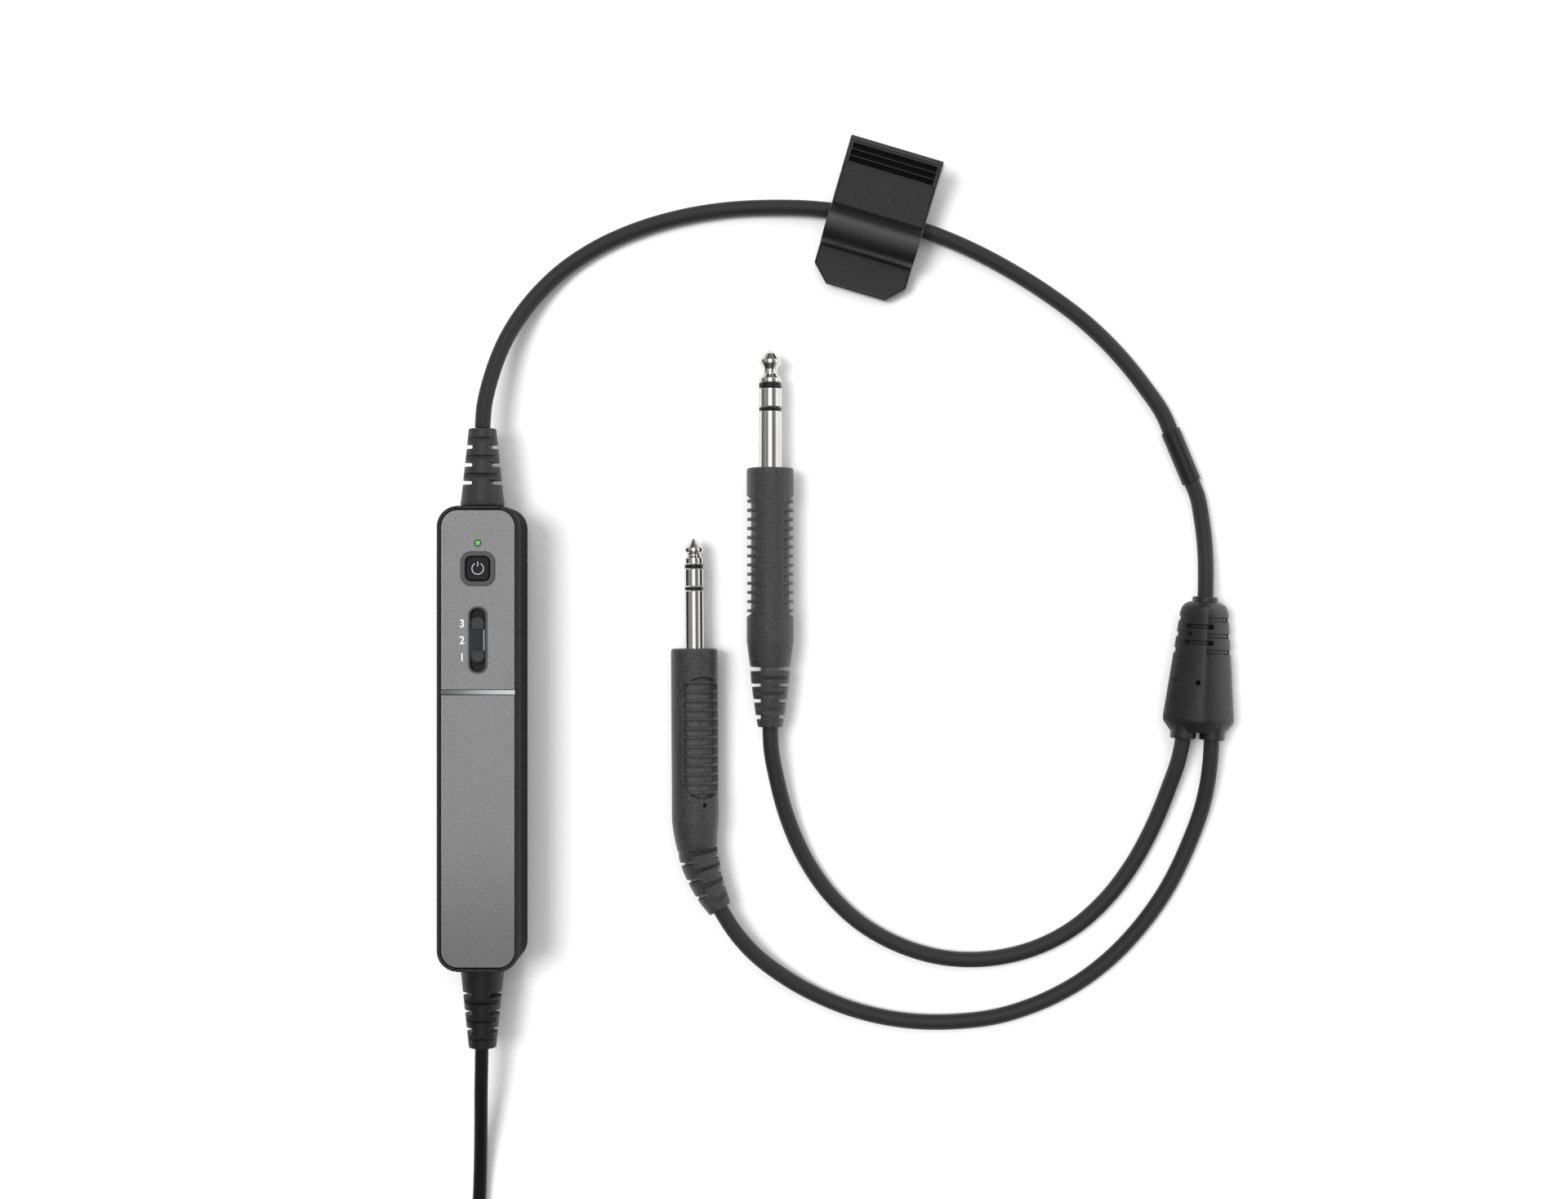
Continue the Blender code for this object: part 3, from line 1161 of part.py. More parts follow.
def make_clip_hinge():
    """The hinge pin and the torsion spring round it."""
    pin_v, pin_z = CLIP_PIN
    reach = CLIP_EARS[1] + 0.1
    pin = cylinder("clip_hinge_pin", CLIP_PIN_RADIUS, (-reach, pin_v, pin_z), (reach, pin_v, pin_z),
                   16, "steel")
    from_clip(pin)
    per_turn, half, mean = 8, CLIP_SPRING_HALF, CLIP_SPRING_RADIUS
    steps = CLIP_SPRING_TURNS * per_turn
    coil = []
    for i in range(steps + 1):
        angle = math.tau * i / per_turn + math.pi
        coil.append(clip_point(-half + 2 * half * i / steps, pin_v + mean * math.cos(angle),
                               pin_z + mean * math.sin(angle)))
    lower_leg = [clip_point(-half, pin_v + v, z) for v, z in CLIP_SPRING_LOW_LEG]
    upper_leg = [clip_point(half, pin_v + v, z) for v, z in CLIP_SPRING_HIGH_LEG]
    tube("clip_spring", lower_leg + coil + upper_leg, CLIP_SPRING_WIRE, "steel", 1)


# Plugs


def bend_point(point, angle):
    """Carries a point of the strain relief on to an arc that bends the relief's end towards +X."""
    depth = -point.z - BEND_START * MM
    if depth <= 0:
        return point
    stretch = BEND_REACH / (RELIEF_SEGMENTS[-1][1] - BEND_START)
    radius = BEND_REACH * MM / angle
    turn = depth * stretch / radius
    inward = radius - point.x
    return Vector((
        radius - inward * math.cos(turn), point.y, -BEND_START * MM - inward * math.sin(turn),
    ))


def rib_gap_cutter(name, side):
    """The spaces between the grip ribs on one side of a handle."""
    count = 6
    outline = []
    for i in range(count + 1):
        angle = math.radians(-RECESS_HALF_ANGLE + 2 * RECESS_HALF_ANGLE * i / count)
        outline.append((side * HANDLE_CORE * math.cos(angle), HANDLE_CORE * math.sin(angle)))
    for i in range(count, -1, -1):
        angle = math.radians(-RECESS_HALF_ANGLE + 2 * RECESS_HALF_ANGLE * i / count)
        outline.append((side * SLOT_REACH * math.cos(angle), SLOT_REACH * math.sin(angle)))
    spans, last = [], RECESS_START
    for i in range(RIB_COUNT):
        middle = RIB_FIRST + i * RIB_PITCH
        spans.append((last, middle - RIB_THICKNESS / 2))
        last = middle + RIB_THICKNESS / 2
    spans.append((last, last + RECESS_MARGIN))
    work = bmesh.new()
    for index, (near, far) in enumerate(spans):
        gap = plate(f"{name}_{index}", outline, -far, -near)
        work.from_mesh(gap.data)
        bpy.data.objects.remove(gap, do_unlink=True)
    return solid(name, work)


def make_handle(plug):
    """The moulded handle: a round body with two ribbed grips and a slotted strain relief."""
    name = f"{plug['name']}_handle"
    last = RELIEF_SEGMENTS[-1]
    across, along = HANDLE_EDGE
    taper_start, taper_end, taper_radius = HANDLE_TAPER
    profile = [(0, 0), (HANDLE_RADIUS - across, 0), (HANDLE_RADIUS, -along), (HANDLE_RADIUS, -taper_start),
               (taper_radius, -taper_end), (RELIEF_SEGMENTS[0][2] + 0.2, -RELIEF_SEGMENTS[0][0])]
    profile += [(segment[2], -segment[1]) for segment in RELIEF_SEGMENTS[:-1]]
    profile += [(last[2], RELIEF_EDGE - last[1]), (last[2] - RELIEF_EDGE, -last[1]), (0, -last[1])]
    handle = turned(name, profile, PLUG_SIDES, "handle_rubber")
    bore = cylinder(f"{name}_bore", plug["radius"] + PIN_CLEARANCE, (0, 0, PAST), (0, 0, -PIN_SEAT - FIT),
                    PLUG_SIDES)
    gaps = [rib_gap_cutter(f"{name}_gaps_{side}", side) for side in (-1, 1)]
    edges = [(taper_end + RELIEF_SEGMENTS[0][0]) / 2]
    edges += [(a[1] + b[0]) / 2 for a, b in zip(RELIEF_SEGMENTS, RELIEF_SEGMENTS[1:])]
    middles = [-(a[0] + a[1]) / 2 for a in RELIEF_SEGMENTS[:-1]]
    side_slots = slot_cutters(f"{name}_side_slots", [-level for level in edges], RELIEF_CORE, SLOT_REACH,
                              RELIEF_SIDE_SLOT, True)
    front_slots = slot_cutters(f"{name}_front_slots", middles, RELIEF_CORE, SLOT_REACH,
                               RELIEF_FRONT_SLOT, False)
    return combine(handle, [bore, *gaps, side_slots, front_slots])


def make_plug(plug):
    """One plug: handle, sleeve, ring, insulators and tip, along its own axis."""
    name, radius = plug["name"], plug["radius"]
    rod_bore = ROD_RADIUS + FIT
    handle = make_handle(plug)
    tip_low = plug["tip"][-1][1]
    tip = turned(f"{name}_tip", [
        (0, plug["tip"][0][1]), *plug["tip"], (ROD_RADIUS, tip_low), (ROD_RADIUS, 1.0), (0, 1.0),
    ], PLUG_SIDES, "plug_nickel")
    pieces = [handle, tip]
    stack = [
        (f"{name}_insulator_1", radius - INSULATOR_STEP, plug["insulators"][0], "insulator_plastic"),
        (f"{name}_ring", radius, plug["ring"], "plug_nickel"),
        (f"{name}_insulator_2", radius - INSULATOR_STEP, plug["insulators"][1], "insulator_plastic"),
        (f"{name}_sleeve", radius, (plug["sleeve"], -PIN_SEAT), "plug_nickel"),
    ]
    for piece_name, outer, (high, low), finish in stack:
        pieces.append(turned(piece_name, [
            (outer - PIN_EDGE, high), (outer, high - PIN_EDGE), (outer, low + PIN_EDGE),
            (outer - PIN_EDGE, low), (rod_bore, low), (rod_bore, high),
        ], PLUG_SIDES, finish, closed=True))
    turn = math.radians(plug["turn"])
    roll = math.radians(plug["roll"])
    z_axis = Vector((-math.sin(turn), math.cos(turn), 0))
    level = Vector((math.cos(turn), math.sin(turn), 0))
    x_axis = level * math.cos(roll) + Vector((0, 0, 1)) * math.sin(roll)
    frame = Matrix((x_axis, z_axis.cross(x_axis), z_axis)).transposed().to_4x4()
    if plug["bend"]:
        unroll = Matrix.Rotation(-roll, 4, "Z")
        work = bmesh.new()
        work.from_mesh(handle.data)
        bmesh.ops.triangulate(work, faces=work.faces)
        for vertex in work.verts:
            bent = bend_point(unroll @ vertex.co, math.radians(plug["bend"]))
            vertex.co = unroll.inverted() @ bent
        work.to_mesh(handle.data)
        work.free()
    place(pieces, Matrix.Translation(Vector((*plug["face"], PLUG_Z)) * MM) @ frame)


def finish_shading():
    """Shades every mesh smooth with its hard edges kept."""
    for obj in PARTS.objects:
        if obj.type == "MESH":
            obj.data.shade_smooth()
            obj.data.set_sharp_from_angle(angle=math.radians(35))


def main():
    clear_scene()
    make_front_bezel()
    make_rear_shell()
    make_battery_door()
    make_end_insert("upper_end_insert", 1)
    make_end_insert("lower_end_insert", -1)
    make_face_plates()
    make_power_button()
    make_button_surround()
    make_slider()
    make_electronics()
    make_batteries()
    make_screws()
    make_boot("upper_boot", 1, UPPER_BOOT_END)
    make_boot("lower_boot", -1, LOWER_BOOT_END)
    make_cords()
    make_coil()
    make_connector()
    make_marker_sleeve()
    make_splitter()
    make_lower_jaw()
    make_upper_jaw()
    make_clip_hinge()
    make_plug(LARGE_PLUG)
    make_plug(SMALL_PLUG)
    finish_shading()


main()
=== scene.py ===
"""Looks of an aviation headset's down lead: control module, cords, clip, splitter and two plugs.

Sizes are millimetres in the part's own frame: the origin is the bottom centre of the control module,
+Y runs along it towards its upper cord and +Z is up. MM scales them to metres where a mesh is made.
"""

from __future__ import annotations

import logging
import math
from collections.abc import Callable, Iterable, Sequence
from dataclasses import dataclass, field
from enum import Enum
import bmesh  # noqa: E402
import bpy  # noqa: E402
from mathutils import Matrix, Vector  # noqa: E402


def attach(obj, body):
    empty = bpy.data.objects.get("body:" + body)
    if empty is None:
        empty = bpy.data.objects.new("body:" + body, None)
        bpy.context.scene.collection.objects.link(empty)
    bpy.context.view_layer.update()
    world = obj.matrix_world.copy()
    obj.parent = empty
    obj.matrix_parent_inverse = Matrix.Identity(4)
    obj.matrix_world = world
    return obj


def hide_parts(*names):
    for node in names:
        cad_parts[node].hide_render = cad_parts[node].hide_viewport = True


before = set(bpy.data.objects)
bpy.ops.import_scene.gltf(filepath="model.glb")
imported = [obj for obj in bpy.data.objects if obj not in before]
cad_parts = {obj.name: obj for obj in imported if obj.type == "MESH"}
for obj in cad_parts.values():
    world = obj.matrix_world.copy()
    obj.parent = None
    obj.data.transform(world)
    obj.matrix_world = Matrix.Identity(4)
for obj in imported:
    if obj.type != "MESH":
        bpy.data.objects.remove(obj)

LOG = logging.getLogger("headset_lead")
MM = 0.001
FAR = 100.0  # millimetres that take a cutter past any edge of the control module
Outline = list[tuple[float, float]]


# Mesh helpers


def new_object(name: str, data: bpy.types.ID) -> bpy.types.Object:
    """Puts an object of some data in the scene, at the origin."""
    obj = bpy.data.objects.new(name, data)
    bpy.context.scene.collection.objects.link(obj)
    return obj


def finished(name: str, mesh: bmesh.types.BMesh, turn_out: bool = True) -> bpy.types.Object:
    """Makes an object of a bmesh, which it frees, and turns its faces out."""
    if turn_out:
        bmesh.ops.recalc_face_normals(mesh, faces=mesh.faces)
    data = bpy.data.meshes.new(name)
    mesh.to_mesh(data)
    mesh.free()
    return new_object(name, data)


def shift(x: float, y: float, z: float) -> Matrix:
    """A move by some millimetres."""
    return Matrix.Translation(Vector((x, y, z)) * MM)


def spin(degrees: float, axis: str) -> Matrix:
    """A turn about one of the axes."""
    return Matrix.Rotation(math.radians(degrees), 4, axis)


def circle(radius: float, angles: Iterable[float], height: float) -> list[tuple[float, float, float]]:
    """Points round the Z axis at some angles in radians."""
    return [(radius * math.cos(angle), radius * math.sin(angle), height) for angle in angles]


def loft(name: str, rings: Sequence[Sequence[Sequence[float]]], closed: bool = False) -> bpy.types.Object:
    """Joins rings of points into one closed surface.

    Args:
        name: the new object's name.
        rings: rings of equally many points, in millimetres.
        closed: joins the last ring to the first one; otherwise both end rings are capped.

    Returns:
        The new object.
    """
    mesh = bmesh.new()
    rows = [[mesh.verts.new(Vector(point) * MM) for point in ring] for ring in rings]
    pairs = list(zip(rows, rows[1:]))
    if closed:
        pairs.append((rows[-1], rows[0]))
    else:
        mesh.faces.new(rows[0][::-1])
        mesh.faces.new(rows[-1])
    for low, high in pairs:
        for i, vertex in enumerate(low):
            j = (i + 1) % len(low)
            mesh.faces.new((vertex, low[j], high[j], high[i]))
    return finished(name, mesh)


def filleted(points: Sequence[tuple[float, float]], radius: float, closed: bool = False,
             steps: int = 4) -> Outline:
    """Rounds the corners of a line of points.

    Args:
        points: the corners, in order.
        radius: about the radius of each round corner, less where an edge is short.
        closed: whether the last point joins the first one.
        steps: the number of edges in each round corner.

    Returns:
        The rounded line.
    """
    corners = [Vector(point) for point in points]
    count = len(corners)
    made = []
    for i, corner in enumerate(corners):
        if not closed and i in (0, count - 1):
            made.append(tuple(corner))
            continue
        before, after = corners[i - 1] - corner, corners[(i + 1) % count] - corner
        turn = before.angle(after, math.pi)
        if turn > math.radians(172):
            made.append(tuple(corner))
            continue
        reach = min(radius / math.tan(turn / 2), 0.45 * before.length, 0.45 * after.length)
        start, end = corner + before.normalized() * reach, corner + after.normalized() * reach
        for step in range(steps + 1):
            t = step / steps
            made.append(tuple(start * (1 - t) ** 2 + corner * 2 * t * (1 - t) + end * t**2))
    return made


def turned(name: str, profile: Sequence[tuple[float, float]], sides: int = 72,
           closed: bool = False) -> bpy.types.Object:
    """Turns a profile of (radius, height) points about Z."""
    angles = [math.tau * i / sides for i in range(sides)]
    return loft(name, [circle(radius, angles, height) for radius, height in profile], closed)


def prism(name: str, outline: Outline, low: float, high: float) -> bpy.types.Object:
    """A flat outline given its thickness."""
    return loft(name, [[(x, y, z) for x, y in outline] for z in (low, high)])


def boxes(name: str, corners: Iterable[tuple[Sequence[float], Sequence[float]]]) -> bpy.types.Object:
    """One object of several boxes, each given by its lowest and highest corner."""
    mesh = bmesh.new()
    for low, high in corners:
        start, end = Vector(low) * MM, Vector(high) * MM
        made = bmesh.ops.create_cube(mesh, size=1.0)["verts"]
        bmesh.ops.scale(mesh, vec=end - start, verts=made)
        bmesh.ops.translate(mesh, vec=(start + end) / 2, verts=made)
    return finished(name, mesh)


def rod(name: str, radius: float, start: Sequence[float], end: Sequence[float],
        sides: int = 32, edge: float = 0.0) -> bpy.types.Object:
    """A round rod between two points, with its end edges rounded by edge."""
    first, last = Vector(start), Vector(end)
    length = (last - first).length
    corners = [(0.05, 0), (radius, 0), (radius, length), (0.05, length)]
    obj = turned(name, filleted(corners, max(edge, 0.001), steps=3), sides)
    return carry(obj, shift(*first) @ aimed(last - first))


def aimed(direction: Vector) -> Matrix:
    """The turn that takes +Z to a direction."""
    return Vector((0, 0, 1)).rotation_difference(direction).to_matrix().to_4x4()


def carry(obj: bpy.types.Object, matrix: Matrix) -> bpy.types.Object:
    """Moves a piece's mesh by a matrix in metres and keeps its faces pointing out."""
    obj.data.transform(matrix)
    if matrix.determinant() < 0:
        obj.data.flip_normals()
    return obj


def evaluated_mesh(obj: bpy.types.Object) -> bpy.types.Mesh:
    """The plain mesh of an object with its modifiers, or of its text."""
    bpy.context.view_layer.update()
    graph = bpy.context.evaluated_depsgraph_get()
    return bpy.data.meshes.new_from_object(obj.evaluated_get(graph))


def settle(obj: bpy.types.Object) -> bpy.types.Object:
    """Gives an object the plain mesh that its modifiers make, and removes them."""
    data = evaluated_mesh(obj)
    data.name = obj.name
    obj.modifiers.clear()
    obj.data = data
    return obj


def boolean(obj: bpy.types.Object, others: Iterable[bpy.types.Object],
            operation: str = "DIFFERENCE") -> bpy.types.Object:
    """Cuts other meshes from a piece, or joins them to it, and removes them."""
    others = list(others)
    for other in others:
        modifier = obj.modifiers.new(other.name, "BOOLEAN")
        modifier.operation = operation
        modifier.solver = "EXACT"
        modifier.object = other
    settle(obj)
    for other in others:
        bpy.data.objects.remove(other, do_unlink=True)
    obj.data.materials.clear()
    return obj


def bevelled(obj: bpy.types.Object, width: float, segments: int = 2,
             angle: float = 40.0) -> bpy.types.Object:
    """Rounds a piece's edges that are sharper than an angle."""
    modifier = obj.modifiers.new("edges", "BEVEL")
    modifier.width = width * MM
    modifier.segments = segments
    modifier.limit_method = "ANGLE"
    modifier.angle_limit = math.radians(angle)
    return settle(obj)


def joined(name: str, pieces: Sequence[bpy.types.Object]) -> bpy.types.Object:
    """Puts several meshes in one object, each still a closed body, and removes the others."""
    mesh = bmesh.new()
    for piece in pieces:
        mesh.from_mesh(piece.data)
        bpy.data.objects.remove(piece, do_unlink=True)
    return finished(name, mesh, turn_out=False)


def softened(name: str, node: str, width: float, segments: int = 2) -> bpy.types.Object:
    """A copy of a CAD node with its triangles merged and its edges rounded."""
    mesh = bmesh.new()
    mesh.from_mesh(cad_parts[node].data)
    bmesh.ops.remove_doubles(mesh, verts=mesh.verts, dist=0.000001)
    bmesh.ops.dissolve_limit(mesh, angle_limit=math.radians(1.0), verts=mesh.verts, edges=mesh.edges)
    return bevelled(finished(name, mesh), width, segments)


def smooth_route(route: Sequence[Sequence[float]], spacing: float) -> list[Vector]:
    """Points about a spacing apart on the smooth curve through a route's own points."""
    places = [Vector(point) for point in route]
    spans = [(b - a).length for a, b in zip(places, places[1:])]
    slopes = [(places[1] - places[0]) / spans[0]]
    for i in range(1, len(places) - 1):
        before = (places[i] - places[i - 1]) / spans[i - 1]
        after = (places[i + 1] - places[i]) / spans[i]
        share = spans[i - 1] / (spans[i - 1] + spans[i])
        slopes.append(before * (1 - share) + after * share)
    slopes.append((places[-1] - places[-2]) / spans[-1])
    points = []
    for i, span in enumerate(spans):
        steps = max(1, round(span / spacing))
        for step in range(steps):
            t = step / steps
            points.append(
                places[i] * (2 * t**3 - 3 * t**2 + 1)
                + slopes[i] * span * (t**3 - 2 * t**2 + t)
                + places[i + 1] * (3 * t**2 - 2 * t**3)
                + slopes[i + 1] * span * (t**3 - t**2)
            )
    return points + [places[-1]]


def smoothstep(low: float, high: float, value: float) -> float:
    """Rises smoothly from 0 at low to 1 at high."""
    t = min(1.0, max(0.0, (value - low) / (high - low)))
    return t * t * (3 - 2 * t)


@dataclass(frozen=True)
class RoundRect:
    """A rectangle with round corners, which can be inset."""

    width: float
    length: float
    radius: float
    centre: tuple[float, float] = (0.0, 0.0)
    steps: int = 12

    def points(self, inset: float = 0.0) -> Outline:
        """Its outline, inset by some millimetres."""
        radius = max(0.02, self.radius - inset)
        made = []
        for corner, (sx, sy) in enumerate(((1, 1), (-1, 1), (-1, -1), (1, -1))):
            for step in range(self.steps + 1):
                angle = math.radians(90 * (corner + step / self.steps))
                made.append((
                    self.centre[0] + sx * (self.width / 2 - inset - radius) + radius * math.cos(angle),
                    self.centre[1] + sy * (self.length / 2 - inset - radius) + radius * math.sin(angle),
                ))
        return made

    def slab(self, name: str, low: float, high: float, low_edge: float = 0.0,
             high_edge: float = 0.0, rounds: int = 4) -> bpy.types.Object:
        """A plate of this outline whose two faces have rounded edges."""
        levels = []
        for step in range(rounds + 1):
            angle = math.pi / 2 * step / rounds
            levels.append((low_edge * (1 - math.sin(angle)), low + low_edge * (1 - math.cos(angle))))
        for step in range(rounds + 1):
            angle = math.pi / 2 * step / rounds
            levels.append((high_edge * (1 - math.cos(angle)), high - high_edge * (1 - math.sin(angle))))
        if not low_edge:
            levels = levels[rounds:]
        if not high_edge:
            levels = levels[:-rounds]
        return loft(name, [[(x, y, z) for x, y in self.points(inset)] for inset, z in levels])


# Node trees


class Nodes:
    """Adds nodes to a tree and links them."""

    def __init__(self, tree: bpy.types.NodeTree) -> None:
        """Takes the tree that the nodes go into."""
        self.tree = tree

    def add(self, kind: str, inputs: dict[str | int, object] | None = None,
            **settings: object) -> bpy.types.Node:
        """Adds a node.

        Args:
            kind: the node's type.
            inputs: values or sockets for its inputs, by name or number.
            **settings: values of its own settings.

        Returns:
            The new node.
        """
        node = self.tree.nodes.new(kind)
        for key, value in settings.items():
            setattr(node, key, value)
        self.feed(node, inputs or {})
        return node

    def feed(self, node: bpy.types.Node, inputs: dict[str | int, object]) -> None:
        """Sets or links a node's inputs, by name or number."""
        for key, value in inputs.items():
            if isinstance(value, bpy.types.NodeSocket):
                self.tree.links.new(value, node.inputs[key])
            else:
                node.inputs[key].default_value = value

    def math(self, operation: str, *values: object) -> bpy.types.NodeSocket:
        """The result of a Math node."""
        return self.add("ShaderNodeMath", dict(enumerate(values)), operation=operation).outputs[0]

    def remap(self, value: bpy.types.NodeSocket, given: tuple[float, float], made: tuple[float, float],
              **settings: object) -> bpy.types.NodeSocket:
        """A value taken from one range to another, and held in it."""
        return self.add("ShaderNodeMapRange", {
            "Value": value, 1: given[0], 2: given[1], 3: made[0], 4: made[1],
        }, **settings).outputs[0]

    def noise(self, vector: bpy.types.NodeSocket, size: float, detail: float = 2.0,
              roughness: float = 0.5) -> bpy.types.NodeSocket:
        """Noise from 0 to 1 whose lumps are about a size in millimetres."""
        return self.add("ShaderNodeTexNoise", {
            "Vector": vector, "Scale": 1 / (size * MM), "Detail": detail, "Roughness": roughness,
        }).outputs[0]

    def ramp(self, value: bpy.types.NodeSocket, low: float, high: float,
             stops: Sequence[tuple[float, float]]) -> bpy.types.NodeSocket:
        """A grey that follows a value from low to high through stops of (value, grey)."""
        ramp = self.add("ShaderNodeValToRGB", {"Fac": self.remap(value, (low, high), (0.0, 1.0))})
        made = ramp.color_ramp.elements
        for index, (place, level) in enumerate(stops):
            stop = made[index] if index < 2 else made.new(1.0)
            stop.position = (place - low) / (high - low)
            stop.color = (level, level, level, 1.0)
        return ramp.outputs[0]


class PieceTree:
    """Geometry Nodes that make a piece from named inputs and give it one material."""

    inputs: dict[str, str] = {}

    def __init__(self, name: str) -> None:
        """Builds the tree under a name."""
        self.tree = bpy.data.node_groups.new(name, "GeometryNodeTree")
        self.sockets = {}
        for label, kind in {**self.inputs, "Material": "NodeSocketMaterial"}.items():
            made = self.tree.interface.new_socket(label, in_out="INPUT", socket_type=kind)
            self.sockets[label] = made.identifier
        self.tree.interface.new_socket("Geometry", in_out="OUTPUT", socket_type="NodeSocketGeometry")
        nodes = Nodes(self.tree)
        given = nodes.add("NodeGroupInput").outputs
        real = nodes.add("GeometryNodeRealizeInstances", {"Geometry": self.shape(nodes, given)})
        worn = nodes.add("GeometryNodeSetMaterial", {
            "Geometry": real.outputs[0], "Material": given["Material"],
        })
        nodes.add("NodeGroupOutput", {"Geometry": worn.outputs[0]})

    def shape(self, nodes: Nodes, given: bpy.types.NodeOutputs) -> bpy.types.NodeSocket:
        """The geometry that the tree's inputs give."""
        raise NotImplementedError

    def run(self, name: str, values: dict[str, object], finish: Finish | None) -> bpy.types.Object:
        """Makes a plain mesh from values for the inputs.

        Args:
            name: the new object's name.
            values: the inputs' values by their labels.
            finish: the finish of the piece, if it has one yet.

        Returns:
            The new object.
        """
        obj = new_object(name, bpy.data.meshes.new(name))
        modifier = obj.modifiers.new("tree", "NODES")
        modifier.node_group = self.tree
        for label, value in values.items():
            modifier[self.sockets[label]] = value
        if finish:
            modifier[self.sockets["Material"]] = finish.material()
        return settle(obj)


class RepeatTree(PieceTree):
    """Repeats a template, in a row or round a ring."""

    inputs = {"Template": "NodeSocketObject", "Count": "NodeSocketInt", "Offset": "NodeSocketVector"}

    def __init__(self, name: str, around: bool) -> None:
        """Builds the tree.

        Args:
            name: the tree's name.
            around: repeats round the Z axis instead of along an offset.
        """
        self.around = around
        super().__init__(name)

    def shape(self, nodes: Nodes, given: bpy.types.NodeOutputs) -> bpy.types.NodeSocket:
        """Instances of the template."""
        template = nodes.add("GeometryNodeObjectInfo", {"Object": given["Template"]})
        offset, turns = given["Offset"], {}
        if self.around:
            share = nodes.math("DIVIDE", nodes.add("GeometryNodeInputIndex").outputs[0], given["Count"])
            angle = nodes.math("MULTIPLY", share, math.tau)
            turns["Rotation"] = nodes.add("ShaderNodeCombineXYZ", {"Z": angle}).outputs[0]
            offset = (0, 0, 0)
        line = nodes.add("GeometryNodeMeshLine", {"Count": given["Count"], "Offset": offset}, mode="OFFSET")
        return nodes.add("GeometryNodeInstanceOnPoints", {
            "Points": line.outputs[0], "Instance": template.outputs["Geometry"], **turns,
        }).outputs[0]

    def make(self, name: str, template: bpy.types.Object, count: int,
             offset: Sequence[float] = (0, 0, 0), finish: Finish | None = None) -> bpy.types.Object:
        """Repeats a template and removes it.

        Args:
            name: the new object's name.
            template: the piece that is repeated.
            count: how many there are.
            offset: the step from one to the next along a row, in millimetres.
            finish: the finish of the repeated pieces.

        Returns:
            The new object with a plain mesh.
        """
        steps = [step * MM for step in offset]
        obj = self.run(name, {"Template": template, "Count": count, "Offset": steps}, finish)
        bpy.data.objects.remove(template, do_unlink=True)
        return obj


class SpringTree(PieceTree):
    """Sweeps a round wire along a helix, about Z from the origin up."""

    inputs = {label: "NodeSocketFloat"
              for label in ("Turns", "Low Radius", "High Radius", "Height", "Wire Radius")}

    def shape(self, nodes: Nodes, given: bpy.types.NodeOutputs) -> bpy.types.NodeSocket:
        """The wire's surface, with its ends closed."""
        helix = nodes.add("GeometryNodeCurveSpiral", {
            "Resolution": 32, "Rotations": given["Turns"], "Start Radius": given["Low Radius"],
            "End Radius": given["High Radius"], "Height": given["Height"],
        })
        wire = nodes.add("GeometryNodeCurvePrimitiveCircle", {
            "Resolution": 12, "Radius": given["Wire Radius"],
        })
        return nodes.add("GeometryNodeCurveToMesh", {
            "Curve": helix.outputs[0], "Profile Curve": wire.outputs[0], "Fill Caps": True,
        }).outputs[0]

    def make(self, name: str, finish: Finish, turns: float, **sizes: float) -> bpy.types.Object:
        """A spring of the named sizes: low_radius, high_radius, height and wire_radius."""
        values = {key.replace("_", " ").title(): value * MM for key, value in sizes.items()}
        return self.run(name, {"Turns": turns, **values}, finish)


# Finishes


NOISE_RANGE = (0.3, 0.7)  # where nearly all of a noise lies
DRIFT_SIZE = 14.0  # millimetres across one patch of the slow drift in colour and gloss


class Grain(Enum):
    """The texture that a surface has from its mould, its mill or its loom."""

    SPARK = "spark"
    LEATHER = "leather"
    BRUSHED = "brushed"
    WOVEN = "woven"
    POLISHED = "polished"


